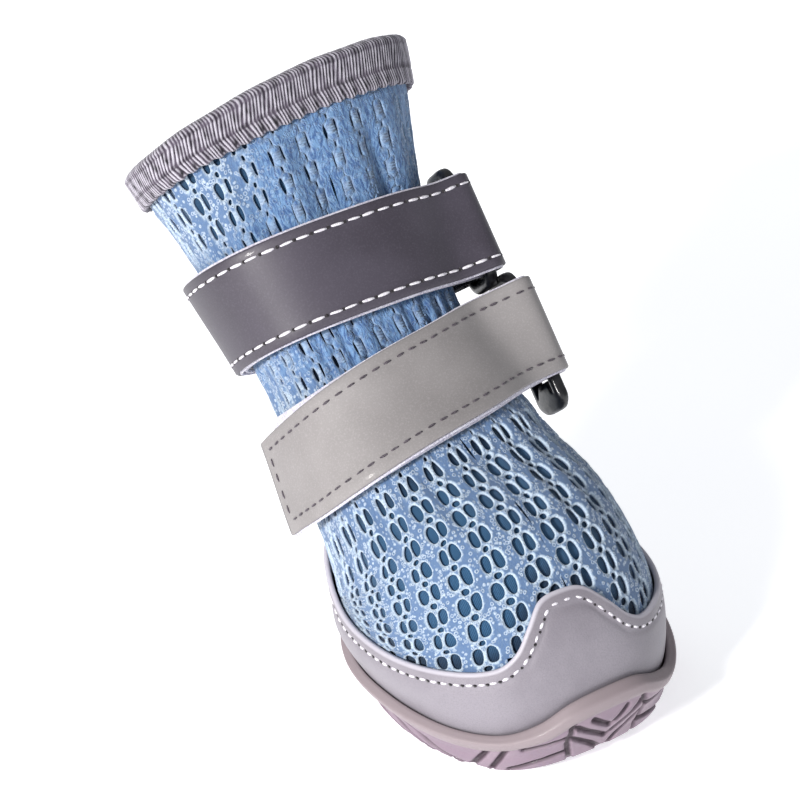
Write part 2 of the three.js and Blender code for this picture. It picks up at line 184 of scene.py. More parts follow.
def bilinear(grid, row, col):
    row = np.clip(row, 0, grid.shape[0] - 1.001)
    col = np.clip(col, 0, grid.shape[1] - 1.001)
    r, c = row.astype(int), col.astype(int)
    a, b = row - r, col - c
    top = grid[r, c] * (1 - b) + grid[r, c + 1] * b
    foot = grid[r + 1, c] * (1 - b) + grid[r + 1, c + 1] * b
    return top * (1 - a) + foot * a


def onCloth(turn, drop):
    whole = np.floor(turn)
    part = (turn - whole) * (len(mapTurns) - 1)
    level = bilinear(mapDown, drop / dropSteps[1], part)
    place = (level - mapLevels[0]) / (mapLevels[1] - mapLevels[0])
    return bilinear(mapAngles, place, part) + 360 * whole, level


# making meshes
def gridFaces(rows, cols, closeRows=False, closeCols=True):
    r, c = np.meshgrid(np.arange(rows if closeRows else rows - 1),
                       np.arange(cols if closeCols else cols - 1), indexing="ij")
    down, right = (r + 1) % rows, (c + 1) % cols
    corners = [r * cols + c, r * cols + right, down * cols + right, down * cols + c]
    return np.stack(corners, -1).reshape(-1, 4)


def addPiece(name, points, faces, material, replaces=(), uv=None, marks=None, weld=0):
    mesh = bpy.data.meshes.new(name)
    points = np.asarray(points, float).reshape(-1, 3) * mm
    faces = [list(f) for f in faces]
    mesh.from_pydata(points.tolist(), [], faces)
    for key, values in (marks or {}).items():
        layer = mesh.attributes.new(key, "FLOAT", "POINT")
        layer.data.foreach_set("value", np.asarray(values, np.float32).ravel())
    if uv is not None:
        corners = np.zeros(len(mesh.loops), int)
        mesh.loops.foreach_get("vertex_index", corners)
        layer = mesh.uv_layers.new(name="cloth")
        layer.uv.foreach_set("vector", np.asarray(uv, np.float32).reshape(-1, 2)[corners].ravel())
    if weld:
        work = bmesh.new()
        work.from_mesh(mesh)
        bmesh.ops.remove_doubles(work, verts=work.verts, dist=weld * mm)
        work.to_mesh(mesh)
        work.free()
    mesh.polygons.foreach_set("use_smooth", [True] * len(mesh.polygons))
    mesh.materials.append(material)
    piece = bpy.data.objects.new(name, mesh)
    bpy.context.scene.collection.objects.link(piece)
    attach(piece, "root")
    if replaces:
        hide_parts(*replaces)
    return piece


# closed skin through rings of equal length; loop joins the last ring to the first
def ringSkin(rings, loop):
    rings = np.asarray(rings, float)
    rows, cols = rings.shape[:2]
    faces = [list(f) for f in gridFaces(rows, cols, closeRows=loop)]
    points = rings.reshape(-1, 3)
    if not loop:
        points = np.vstack([points, rings[0].mean(0), rings[-1].mean(0)])
        first, last = len(points) - 2, len(points) - 1
        for k in range(cols):
            after = (k + 1) % cols
            faces.append([first, after, k])
            faces.append([last, (rows - 1) * cols + k, (rows - 1) * cols + after])
    return points, faces


# making materials
# a colour as the eye names it, 0 to 255, turned into the light values that a shader takes
def tone(red, green, blue):
    light = [c / 255 / 12.92 if c <= 10 else ((c / 255 + 0.055) / 1.055) ** 2.4
             for c in (red, green, blue)]
    return (*light, 1.0)


class Finish:
    def __init__(self, name, roughness, sheen=0.0, coat=0.0, specular=0.5):
        self.material = bpy.data.materials.new(name)
        self.material.use_nodes = True
        self.tree = self.material.node_tree
        self.shader = self.tree.nodes["Principled BSDF"]
        self.shader.inputs["Roughness"].default_value = roughness
        self.shader.inputs["Sheen Weight"].default_value = sheen
        self.shader.inputs["Coat Weight"].default_value = coat
        self.shader.inputs["Specular IOR Level"].default_value = specular

    def node(self, kind, inputs=None, **settings):
        made = self.tree.nodes.new("ShaderNode" + kind)
        for key, value in settings.items():
            setattr(made, key, value)
        for key, value in (inputs or {}).items():
            self.feed(made.inputs[key], value)
        return made

    def feed(self, socket, value):
        if isinstance(value, bpy.types.NodeSocket):
            self.tree.links.new(value, socket)
        else:
            socket.default_value = value

    def place(self, scale=(1, 1, 1), uv=False):
        coords = self.node("TexCoord").outputs["UV" if uv else "Object"]
        return self.node("Mapping", {"Vector": coords, "Scale": scale}).outputs[0]

    def noise(self, scale, vector, detail=3.0, distortion=0.0):
        made = self.node("TexNoise", {"Vector": vector, "Scale": scale, "Detail": detail,
                                      "Distortion": distortion, "Roughness": 0.55})
        return made.outputs["Fac"]

    def wave(self, scale, vector, ways, distortion, detailScale=1.0):
        made = self.node("TexWave", {"Vector": vector, "Scale": scale, "Distortion": distortion,
                                     "Detail Scale": detailScale}, bands_direction=ways)
        return made.outputs["Fac"]

    def maths(self, operation, a, b=0.0):
        return self.node("Math", {0: a, 1: b}, operation=operation).outputs[0]

    def spread(self, value, low, high, newLow=0.0, newHigh=1.0):
        made = self.node("MapRange", {"Value": value, "From Min": low, "From Max": high,
                                      "To Min": newLow, "To Max": newHigh},
                         interpolation_type="SMOOTHSTEP")
        return made.outputs["Result"]

    def mix(self, share, a, b):
        made = self.node("Mix", data_type="RGBA")
        self.feed(made.inputs[0], share)
        self.feed(made.inputs[6], a)
        self.feed(made.inputs[7], b)
        return made.outputs[2]

    def mark(self, key):
        return self.node("Attribute", attribute_name=key).outputs["Fac"]

    def bump(self, height, strength, distance, normal=None):
        inputs = {"Height": height, "Strength": strength, "Distance": distance * mm}
        if normal is not None:
            inputs["Normal"] = normal
        return self.node("Bump", inputs).outputs[0]

    def done(self, colour, normal=None, roughness=None):
        self.feed(self.shader.inputs["Base Color"], colour)
        if normal is not None:
            self.feed(self.shader.inputs["Normal"], normal)
        if roughness is not None:
            self.feed(self.shader.inputs["Roughness"], roughness)
        return self.material


def knitFinish():
    look = Finish("airMeshThread", 0.82, sheen=0.25, specular=0.3)
    cloth = look.place(uv=True)
    loops = look.node("TexVoronoi", {"Vector": cloth, "Scale": 11.0, "Randomness": 0.75})
    fromRing = look.maths("ABSOLUTE", look.maths("SUBTRACT", loops.outputs["Distance"], 0.34))
    ring = look.spread(fromRing, 0.0, 0.2, 1, 0)
    strand = look.noise(42.0, look.place((1.0, 0.45, 1), uv=True), 3.0, 0.6)
    fibre = look.noise(150.0, cloth, 2.0)
    streak = look.noise(30.0, look.place((1.0, 0.16, 1), uv=True), 3.0, 0.5)
    shut = look.mark("shut")
    # where the holes are shut the pale thread is dimmed: painted shade
    thread = look.maths("MULTIPLY", look.mark("thread"), look.spread(shut, 0.1, 0.75, 1.0, 0.3))
    rib = look.mix(ring, tone(92, 116, 148), tone(186, 200, 214))
    rib = look.mix(look.spread(strand, 0.4, 0.6), look.mix(0.5, rib, tone(76, 106, 152)), rib)
    # where the holes are shut the rib turns a darker streaky blue: painted shade of the closed slits and
    # gathers, with pale fibre specks painted as glints
    shutShade = look.mix(look.spread(streak, 0.38, 0.6), tone(46, 80, 130), tone(106, 142, 182))
    shutShade = look.mix(look.spread(fibre, 0.6, 0.74), shutShade, tone(190, 212, 236))
    rib = look.mix(look.spread(shut, 0.25, 0.8, 0.0, 0.85), rib, shutShade)
    light = look.mix(look.spread(fibre, 0.35, 0.6), tone(142, 168, 192), tone(210, 222, 232))
    colour = look.mix(thread, rib, light)
    # the pit mark paints the hole walls dark blue: painted shade down inside the holes
    colour = look.mix(look.mark("pit"), colour, tone(44, 76, 128))
    height = look.maths("ADD", look.maths("MULTIPLY", ring, 0.6), look.maths("MULTIPLY", strand, 0.8))
    normal = look.bump(fibre, 0.25, 0.12, look.bump(height, 0.8, 0.22))
    return look.done(colour, normal)


def backingFinish():
    look = Finish("airMeshBacking", 0.9, sheen=0.3, specular=0.2)
    cloth = look.place(uv=True)
    lines = look.wave(9.0, cloth, "X", 1.2, 3.0)
    # pale specks on the backing are painted highlights
    glintSpeck = look.noise(90.0, cloth, 3.0)
    colour = look.mix(look.spread(lines, 0.25, 0.75), tone(28, 58, 88), tone(50, 90, 124))
    colour = look.mix(look.spread(glintSpeck, 0.5, 0.75, 0.0, 0.5), colour, tone(86, 132, 168))
    # painted shade: the lining is darkened under and between the straps, just below the lower strap, near
    # the foxing's edge and towards the collar
    colour = look.mix(look.mark("liningShade"), colour, tone(12, 20, 38))
    return look.done(colour, look.bump(look.maths("ADD", lines, glintSpeck), 0.5, 0.15))


def bindingFinish():
    look = Finish("bindingYarn", 0.88, sheen=0.3, specular=0.25)
    cloth = look.place(uv=True)
    yarn = look.mark("yarn")
    fuzz = look.noise(120.0, cloth, 3.0)
    patch = look.noise(7.0, cloth, 2.0)
    light = look.mix(look.spread(fuzz, 0.35, 0.65), tone(150, 146, 158), tone(206, 202, 212))
    # the dark tone between the yarn ribs is painted shade in the troughs
    dark = look.mix(look.spread(patch, 0.4, 0.62), tone(78, 70, 84), tone(40, 34, 46))
    colour = look.mix(look.spread(yarn, 0.32, 0.92), dark, light)
    # dark spots painted as shade in the small gaps between the zigzags
    colour = look.mix(look.mark("gapShade"), colour, tone(20, 18, 26))
    return look.done(colour, look.bump(fuzz, 0.5, 0.12))


def foxingFinish():
    look = Finish("foxingLeather", 0.5, sheen=0.05, coat=0.06, specular=0.45)
    place = look.place()
    cells = look.node("TexVoronoi", {"Vector": place, "Scale": 2600.0}, feature="SMOOTH_F1")
    fine = look.noise(3800.0, place, 3.0)
    cloud = look.noise(70.0, place, 3.0)
    face = look.mix(look.spread(cloud, 0.35, 0.65), tone(126, 121, 129), tone(138, 133, 141))
    face = look.mix(look.spread(fine, 0.4, 0.7, 0, 0.35), face, tone(110, 105, 115))
    colour = look.mix(look.mark("edge"), face, tone(184, 180, 190))
    normal = look.bump(cells.outputs["Distance"], 0.22, 0.12, look.bump(fine, 0.2, 0.06))
    return look.done(colour, normal, look.spread(cloud, 0.3, 0.7, 0.46, 0.58))


def rubberFinish():
    look = Finish("soleRubber", 0.55, coat=0.04, specular=0.45)
    place = look.place()
    fine = look.noise(1800.0, place, 4.0)
    cloud = look.noise(60.0, place, 3.0)
    face = look.mix(look.spread(cloud, 0.35, 0.65), tone(130, 113, 127), tone(143, 126, 138))
    # painted shade: darker in the tread grooves, the channels underneath and inside the cup
    colour = look.mix(look.mark("hollowShade"), face, tone(62, 48, 58))
    colour = look.mix(look.mark("crown"), colour, tone(140, 128, 132))
    dust = look.noise(900.0, place, 2.0)
    colour = look.mix(look.spread(dust, 0.62, 0.8, 0, 0.3), colour, tone(140, 124, 132))
    return look.done(colour, look.bump(fine, 0.18, 0.1), look.spread(fine, 0.3, 0.7, 0.5, 0.64))


def strapFinish(name, dark, light, roughness):
    look = Finish(name, roughness, specular=0.5, coat=0.08)
    place = look.place()
    weave = look.noise(3000.0, place, 2.0)
    cloud = look.noise(45.0, place, 3.0)
    beads = look.node("TexVoronoi", {"Vector": place, "Scale": 5200.0}).outputs["Distance"]
    colour = look.mix(look.spread(cloud, 0.35, 0.65), tone(*dark), tone(*light))
    shine = tone(*[min(c + 28, 255) for c in light])
    colour = look.mix(look.spread(weave, 0.45, 0.75, 0, 0.25), colour, shine)
    normal = look.bump(beads, 0.2, 0.05, look.bump(cloud, 0.25, 0.6))
    return look.done(colour, normal, look.spread(cloud, 0.3, 0.7, roughness - 0.05, roughness + 0.06))


def fuzzFinish():
    look = Finish("loopTape", 0.95, sheen=0.6, specular=0.15)
    place = look.place()
    loops = look.noise(2400.0, place, 4.0, 1.5)
    colour = look.mix(look.spread(loops, 0.35, 0.65), tone(176, 170, 190), tone(234, 232, 242))
    return look.done(colour, look.bump(loops, 0.9, 0.3))


def threadFinish(name, light, shade):
    look = Finish(name, 0.7, sheen=0.2, specular=0.35)
    place = look.place()
    twist = look.noise(5000.0, place, 2.0)
    return look.done(look.mix(look.spread(twist, 0.35, 0.65), tone(*shade), tone(*light)),
                     look.bump(twist, 0.4, 0.08))


def plasticFinish():
    look = Finish("ringPlastic", 0.36, coat=0.15)
    place = look.place()
    fine = look.noise(1400.0, place, 3.0)
    colour = look.mix(look.spread(fine, 0.3, 0.7), tone(14, 14, 17), tone(26, 26, 30))
    return look.done(colour, look.bump(fine, 0.12, 0.06), look.spread(fine, 0.3, 0.7, 0.3, 0.42))


def webbingFinish():
    look = Finish("blackWebbing", 0.85, sheen=0.25, specular=0.3)
    cloth = look.place(uv=True)
    ribs = look.wave(5.5, cloth, "X", 0.6)
    cross = look.wave(8.0, cloth, "Y", 0.6)
    weave = look.maths("MULTIPLY", ribs, cross)
    colour = look.mix(look.spread(weave, 0.1, 0.8), tone(14, 14, 18), tone(46, 46, 54))
    return look.done(colour, look.bump(weave, 0.9, 0.3))


def insoleFinish():
    look = Finish("insoleCloth", 0.95, sheen=0.4, specular=0.15)
    place = look.place()
    nap = look.noise(2600.0, place, 4.0, 1.0)
    colour = look.mix(look.spread(nap, 0.3, 0.7), tone(44, 52, 70), tone(84, 94, 118))
    return look.done(colour, look.bump(nap, 0.8, 0.25))


finishes = {
    "knit": knitFinish(),
    "backing": backingFinish(),
    "binding": bindingFinish(),
    "foxing": foxingFinish(),
    "rubber": rubberFinish(),
    "strapUpper": strapFinish("strapDarkCoat", (56, 51, 61), (66, 61, 72), 0.5),
    "strapLower": strapFinish("strapLightCoat", (128, 124, 124), (141, 137, 137), 0.66),
    "fuzz": fuzzFinish(),
    "whiteThread": threadFinish("whiteThread", (246, 244, 248), (190, 184, 196)),
    "darkThread": threadFinish("greyThread", (96, 88, 96), (40, 34, 42)),
    # dark discs painted as the shade in needle holes
    "needleHoleShade": threadFinish("needleHoleShade", (38, 30, 38), (14, 10, 16)),
    "plastic": plasticFinish(),
    "webbing": webbingFinish(),
    "insole": insoleFinish(),
}
print("finishes made:", len(finishes))


# the straps' sizes, which the sock's pleats follow; below is the distance from the collar
strapSizes = {
    "width": 18.6, "thickness": 1.4, "bandGap": 0.7, "betweenLayers": 0.3, "barGap": 0.6,
    "upper": dict(below=31.8, tilt=-0.8, root=-168, tip=-152, droop=0, barX=25.3, barFore=11.5,
                  ringLength=24.2, ringDrop=0),
    "lower": dict(below=57.9, tilt=3.2, root=-168, tip=-104, droop=3, barX=27.0, barFore=12.5,
                  ringLength=27.8, ringDrop=2.1),
}

# main creases: angle is at the middle, start and end are distances below the collar,
# drift turns the crease towards its foot, and rise is negative for a trough
mainCreases = [
    dict(angle=-62, start=6, end=24, drift=-4, width=2.6, rise=-0.8),
    dict(angle=-34, start=8, end=24, drift=4, width=2.2, rise=-0.7),
    dict(angle=-14, start=4, end=24, drift=3, width=3.0, rise=0.7),
    dict(angle=-4, start=7, end=24, drift=4, width=1.8, rise=-0.8),
    dict(angle=9, start=3, end=24, drift=2, width=3.2, rise=0.8),
    dict(angle=22, start=9, end=24, drift=5, width=1.9, rise=-0.9),
    dict(angle=36, start=6, end=24, drift=4, width=3.0, rise=0.6),
    dict(angle=58, start=8, end=24, drift=3, width=2.4, rise=-0.8),
    dict(angle=96, start=5, end=25, drift=-3, width=3.0, rise=-0.7),
    dict(angle=-110, start=8, end=25, drift=3, width=3.0, rise=-0.7),
    dict(angle=-52, start=69, end=79, drift=-5, width=2.0, rise=-0.7),
    dict(angle=-22, start=69, end=78, drift=-3, width=1.6, rise=-0.6),
    dict(angle=4, start=69, end=80, drift=1, width=1.7, rise=-0.7),
    dict(angle=20, start=69, end=81, drift=3, width=1.8, rise=-0.8),
    dict(angle=34, start=69, end=82, drift=5, width=2.0, rise=-0.8),
    dict(angle=52, start=68, end=80, drift=6, width=2.0, rise=-0.7),
]
gathers = {"aboveUpper": 0.32, "between": 0.75, "belowLower": 0.5, "underStrap": 0.25}


def pleats(angle, level):
    angle, level = np.broadcast_arrays(angle, level)
    below = belowCollar(level)
    rad = np.radians(angle)
    lowered = below + strapSizes["lower"]["tilt"] * np.sin(rad)
    half = strapSizes["width"] / 2
    topUpper, footUpper = strapSizes["upper"]["below"] - half, strapSizes["upper"]["below"] + half
    topLower, footLower = strapSizes["lower"]["below"] - half, strapSizes["lower"]["below"] + half
    def fold(count, wander, phase):
        turn = count * rad / 2 + wander * np.sin(3 * rad + phase) + 0.6 * np.sin(7 * rad + 2 * phase)
        return np.abs(np.sin(turn)) ** 0.7 - 0.68
    above = np.exp(-np.maximum(topUpper - below, 0) / 8) * (below < footUpper)
    between = smooth(topUpper + 4, footUpper, below) * smooth(footLower - 4, topLower, lowered)
    under = np.exp(-np.maximum(lowered - footLower, 0) / 5) * (below > topUpper + 8)
    def hidden(top, foot, drop):
        return smooth(top - 1, top + 2, drop) * smooth(foot + 1, foot - 2, drop)
    covered = hidden(topUpper, footUpper, below)
    covered = covered + hidden(topLower, footLower, lowered)
    calm = 1 - (1 - gathers["underStrap"]) * np.clip(covered, 0, 1)
    front = 0.35 + 0.65 * smooth(120, 80, np.abs((angle + 180) % 360 - 180))
    height = gathers["aboveUpper"] * above * fold(31, 0.9, 0.4)
    height = height + gathers["between"] * between * fold(35, 0.8, 1.3)
    height = height + gathers["belowLower"] * under * front * fold(37, 0.7, 2.1)
    for crease in mainCreases:
        share = np.clip((below - crease["start"]) / (crease["end"] - crease["start"]), 0, 1)
        centre = crease["angle"] + crease["drift"] * (share - 0.5)
        away = ((angle - centre + 180) % 360 - 180) * 0.38 / crease["width"]
        ends = smooth(crease["start"] - 1, crease["start"] + 5, below)
        ends = ends * smooth(crease["end"] + 3, crease["end"], below)
        height = height + crease["rise"] * np.exp(-away ** 2) * ends
    slack = 0.25 * np.sin(2 * rad + 0.09 * below) * smooth(80, 60, below) * smooth(2, 12, below)
    return (height + slack) * calm - 0.12 * np.clip(covered, 0, 1)


# how far a row of the mesh must shift, down the boot, to run square to the columns all the way round
squareTurns, squareDrops = np.linspace(-0.5, 0.5, 361), np.linspace(0, clothReach, clothReach + 1)
squarePoints = skin(*onCloth(squareTurns[None, :] % 1, squareDrops[:, None]))
rowWays = np.gradient(squarePoints, axis=1) * (len(squareTurns) - 1)
columnWays = np.gradient(squarePoints, axis=0)
slants = -(rowWays * columnWays).sum(-1) / np.maximum((columnWays * columnWays).sum(-1), 0.3)
slants = (slants - slants[:, ::-1]) / 2 * smooth(4, 40, squareDrops)[:, None]
shifts = np.cumsum(slants, axis=1) / (len(squareTurns) - 1)
squareShift = np.clip(shifts - shifts[:, [180]], -26, 26)


def squared(turn, drop):
    col = ((turn + 0.5) % 1) * (len(squareTurns) - 1)
    return drop + bilinear(squareShift, np.clip(drop, 0, clothReach - 0.1), col)


# the air mesh: one knitted unit, repeated round and down the sock
knit = {
    "columns": 25, "width": 7.3, "height": 5.4,   # units round the boot, and the unit's relaxed size
    "oval": (1.06, 1.76), "ovalApart": 1.36, "ovalRow": 1.84, "squareness": 2.4,
    "small": (0.74, 0.62), "smallRow": 4.54,
    "depth": 0.78, "crest": 0.04, "edge": -0.24, "rib": -0.07,
    "firstRow": 3.0,                              # distance of the first row below the collar
    "hidden": 3.4,                                # how far the mesh goes on under the foxing
}
# how far the holes of the shaft stand open, by angle
shaftOpen = [(-180, 0.85), (-110, 0.98), (-62, 0.95), (-38, 0.62), (-14, 0.26), (30, 0.16),
             (75, 0.2), (120, 0.5), (180, 0.8)]


def holeDistances(u, v):
    mid = knit["width"] / 2
    holes = []
    for shift in (-1, 0, 1):
        rise = shift * knit["height"]
        for side in (-1, 1):
            holes.append((mid + side * knit["ovalApart"], knit["ovalRow"] + rise, *knit["oval"]))
        holes.append((mid, knit["smallRow"] + rise, *knit["small"]))
    holes = np.array(holes)
    du, dv = u[..., None] - holes[:, 0], v[..., None] - holes[:, 1]
    form = knit["squareness"]
    size = (np.abs(du / holes[:, 2]) ** form + np.abs(dv / holes[:, 3]) ** form) ** (1 / form) + 1e-6
    return np.hypot(du, dv) * (1 - 1 / size), du, dv


def roundedPoint(t):
    c, s = math.cos(t), math.sin(t)
    size = (abs(c) ** knit["squareness"] + abs(s) ** knit["squareness"]) ** (1 / knit["squareness"])
    return c / size, s / size


def knitUnit():
    width, height, mid = knit["width"], knit["height"], knit["width"] / 2
    holes = [(mid - knit["ovalApart"], knit["ovalRow"], *knit["oval"], 18),
             (mid + knit["ovalApart"], knit["ovalRow"], *knit["oval"], 18),
             (mid, knit["smallRow"], *knit["small"], 14)]
    points, edges = [], []
    across = [0, 0.6, 1.15, 1.6, 2.0, 2.4, 2.75, 3.05, 3.35]
    across = across + [mid] + [width - a for a in across[::-1]]
    for u in across:
        points += [(u, 0), (u, height)]
    for v in np.linspace(0, height, 10)[1:-1]:
        points += [(0, v), (width, v)]
    for cu, cv, a, b, count in holes:
        start = len(points)
        for k in range(count):
            c, s = roundedPoint(2 * math.pi * k / count)
            points.append((cu + a * c, cv + b * s))
            edges.append((start + k, start + (k + 1) % count))
        for off in (0.2, 0.42):
            for k in range(count):
                c, s = roundedPoint(2 * math.pi * (k + 0.5) / count)
                u, v = cu + (a + off) * c, cv + (b + off) * s
                far = np.sort(holeDistances(np.array(u), np.array(v))[0])
                if far[1] > off * 1.05 and 0.1 < v < height - 0.1:
                    points.append((u, v))
    for u in np.arange(0.5, width - 0.3, 0.56):
        for v in np.arange(0.35, height - 0.2, 0.52):
            nudge = (dice.uniform(-0.1, 0.1), dice.uniform(-0.1, 0.1))
            if holeDistances(np.array(u), np.array(v))[0].min() > 0.62:
                points.append((u + nudge[0], v + nudge[1]))
    made = delaunay_2d_cdt([Vector(p) for p in points], edges, [], 0, 1e-5)
    flat = np.array([tuple(p) for p in made[0]])
    faces = []
    for f in made[2]:
        centre = flat[list(f)].mean(0)
        if holeDistances(centre[0], centre[1])[0].min() > 0:
            faces.append(list(f))
    flat3 = [tuple(p) + (0.0,) for p in flat]
    for cu, cv, a, b, count in holes:
        turns = [roundedPoint(2 * math.pi * k / count) for k in range(count)]
        rim = [int(np.argmin(np.hypot(flat[:, 0] - cu - a * c, flat[:, 1] - cv - b * s)))
               for c, s in turns]
        for off, depth in ((-0.05, 0.5), (0.1, knit["depth"])):
            ring = []
            for c, s in turns:
                ring.append(len(flat3))
                flat3.append((cu + (a + off) * c, cv + (b + off) * s, depth))
            for k in range(count):
                after = (k + 1) % count
                faces.append([rim[k], rim[after], ring[after], ring[k]])
            rim = ring
    return np.array(flat3), faces


def openness(angle, level):
    below = belowCollar(level)
    turned = (angle + 180) % 360 - 180
    table = np.array(shaftOpen)
    onShaft = np.interp(turned, table[:, 0], table[:, 1])
    lowered = below + strapSizes["lower"]["tilt"] * np.sin(np.radians(angle))
    past = lowered - strapSizes["lower"]["below"] - strapSizes["width"] / 2
    onFoot = 0.46 + 0.6 * smooth(-2, 6, past)
    foot = smooth(-6, 2, past)
    pinch = 1 - 0.5 * smooth(12, 22, below) * smooth(56, 44, below)
    return onShaft * pinch * (1 - foot) + onFoot * foot


def makeMesh(name, rowFrom, rowTo, replaces=()):
    unitPoints, unitFaces = knitUnit()
    u, v, depth = unitPoints.T
    far, du, dv = holeDistances(u, v)
    nearest = far.min(1)
    share = 1 / (np.maximum(far, 0) + 0.06) ** 2
    share = share / share.sum(1, keepdims=True) * (1 - smooth(0.2, 1.35, far))
    pullU, pullV = -(share * du).sum(1), -(share * dv).sum(1)
    relief = knit["edge"] + (knit["crest"] - knit["edge"]) * smooth(-0.02, 0.3, nearest)
    relief = relief + (knit["rib"] - knit["crest"]) * smooth(0.4, 0.8, nearest)
    relief = np.where(depth > 0, -depth, relief)
    thread = np.where(depth > 0, 0.7, 1 - smooth(0.1, 0.36, nearest))
    # pit: how far down a hole wall a point lies, which the knit finish paints as shade
    pit = smooth(0.3, 0.75, depth)
    cells = []
    for row in range(rowFrom, rowTo):
        for col in range(knit["columns"]):
            turn = np.array((col + 0.5) / knit["columns"])
            drop = np.array(knit["firstRow"] + (row + 0.5) * knit["height"])
            angle, level = onCloth(turn, squared(turn, drop))
            point = skin(angle, level)
            if point[2] > aroundTable(foxingHeights, angle - capTurn) - knit["hidden"] and level > 0.5:
                cells.append((col, row))
    cells = np.array(cells)
    turn = (cells[:, :1] + u / knit["width"]) / knit["columns"]
    drop = knit["firstRow"] + (cells[:, 1:] + 1 - v / knit["height"]) * knit["height"]
    angle, level = onCloth(turn, squared(turn, drop))
    shut = 1 - openness(angle, level)
    wobble = 0.16 * np.sin(41 * turn * math.pi + 0.35 * drop)
    wobble = wobble + 0.1 * np.sin(97 * turn * math.pi - 0.8 * drop)
    sway = 0.14 * np.sin(58 * turn * math.pi + 0.9 * drop)
    turn = turn + (pullU * shut + wobble) / knit["width"] / knit["columns"]
    drop = drop - (pullV * np.clip(shut, -0.1, 0.45) * 0.4 + sway)
    angle, level = onCloth(turn, squared(turn, drop))
    points = offSkin(angle, level, relief + pleats(angle, level))
    uv = np.stack([(cells[:, :1] * knit["width"] + u) / 10, -drop / 10], -1)
    count = len(unitPoints)
    faces = [[k + cell * count for k in f] for cell in range(len(cells)) for f in unitFaces]
    marks = {"thread": np.tile(thread, len(cells)), "pit": np.tile(pit, len(cells)), "shut": shut.ravel()}
    piece = addPiece(name, points, faces, finishes["knit"], replaces, uv, marks, weld=0.002)
    print(name, "units:", len(cells), "faces:", len(piece.data.polygons))
    return piece


# the mesh's plain backing; outer and inner are its faces, in from the boot's skin
liningSizes = {"outer": -0.95, "inner": -1.75, "foot": 5.5, "columns": 240, "rows": 100}


def makeLining():
    angles = np.linspace(0, 360, liningSizes["columns"], endpoint=False)
    foot, rows = liningSizes["foot"], liningSizes["rows"]
    start = levelAtHeight(angles, foot)
    rings, liningShades = [], []
    for side in (liningSizes["outer"], liningSizes["inner"]):
        face, dark = [], []
        for k in range(rows + 1):
            level = start + (topLevel - start) * k / rows
            ring = offSkin(angles, level, side + pleats(angles, level) * (0.9 if side > -1 else 0.7))
            if k == 0:
                ring[:, 2] = foot
            face.append(ring)
            # painted shade for the lining, from the straps, the foxing's edge and the collar
            past = belowCollar(level) + strapSizes["lower"]["tilt"] * np.sin(np.radians(angles))
            past = past - strapSizes["lower"]["below"] - strapSizes["width"] / 2
            edge = ring[:, 2] - aroundTable(foxingHeights, angles - capTurn)
            shade = 0.85 * smooth(7, 0, past) * smooth(-36, -30, past) + 0.7 * smooth(5, 0.5, edge)
            dark.append(np.clip(shade + 0.3 * smooth(-36, -60, past), 0, 0.9))
        rings += face if side > -1 else face[::-1]
        liningShades += dark if side > -1 else dark[::-1]
    turn = np.broadcast_to(angles / 360 * knit["columns"] * knit["width"] / 10, (len(rings), len(angles)))
    height = np.concatenate([np.linspace(0, 11, rows + 1), np.linspace(11, 0, rows + 1)])
    uv = np.stack([turn, np.broadcast_to(height[:, None], turn.shape)], -1)
    points, faces = ringSkin(rings, True)
    return addPiece("upper_lining", points, faces, finishes["backing"], (), uv,
                    {"liningShade": np.array(liningShades).ravel()})


makeMesh("upper_mesh_shaft", 0, 12, ("upper",))
makeMesh("upper_mesh_foot", 12, 34)
makeLining()
print("upper made")


# stitches: a run of short thread lengths, with a dark disc between each two painted as the shade in the
# needle hole
def makeStitches(name, path, normals, pitch, thread, length=0.72, thick=0.34, holes=True):
    gaps = np.linalg.norm(np.diff(path, axis=0), axis=1)
    far = np.concatenate([[0], np.cumsum(gaps)])
    count = int(far[-1] // pitch)
    sides, rows = 6, 5
    points, faces, holePoints, holeFaces = [], [], [], []
    at = lambda d: np.array([np.interp(d, far, path[:, k]) for k in range(3)])
    lean = lambda d: unit(np.array([np.interp(d, far, normals[:, k]) for k in range(3)]))
    for k in range(count):
        middle = (k + 0.5) * far[-1] / count + dice.uniform(-0.08, 0.08) * pitch
        begin, end = at(middle - pitch * length / 2), at(middle + pitch * length / 2)
        up = lean(middle)
        across = unit(np.cross(end - begin, up)) * (1 + dice.uniform(-0.12, 0.12))
        skew = across * dice.uniform(-0.1, 0.1)
        first = len(points)
        for row in range(rows):
            share = row / (rows - 1)
            swell = math.sin(math.pi * (0.12 + 0.76 * share)) ** 0.6
            centre = begin * (1 - share) + end * share + skew * (share - 0.5)
            centre = centre + up * (0.2 * swell - 0.1) * thick * 2
            for side in range(sides):
                t = 2 * math.pi * side / sides
                points.append(centre + (across * math.cos(t) + up * math.sin(t) * 0.8) * thick * swell)
        for f in gridFaces(rows, sides):
            faces.append([first + i for i in f])
        faces.append([first + i for i in range(sides)][::-1])
        faces.append([first + (rows - 1) * sides + i for i in range(sides)])
        # each needle hole is a small dark disc: painted shade
        if holes:
            spot, up = at(k * far[-1] / count), lean(k * far[-1] / count)
            along = unit(np.cross(up, across))
            first = len(holePoints)
            holePoints.append(spot + up * 0.1)
            for side in range(8):
                t = 2 * math.pi * side / 8
                way = unit(across) * math.cos(t) + along * math.sin(t)
                holePoints.append(spot + way * thick * 1.4 + up * 0.03)
            holePoints.append(spot - up * 0.25)
            for side in range(8):
                holeFaces.append([first, first + 1 + side, first + 1 + (side + 1) % 8])
                holeFaces.append([first + 9, first + 1 + (side + 1) % 8, first + 1 + side])
    made = addPiece(name, points, faces, finishes[thread])
    if holes:
        addPiece(name + "_hole_shade", holePoints, holeFaces, finishes["needleHoleShade"])
    return made


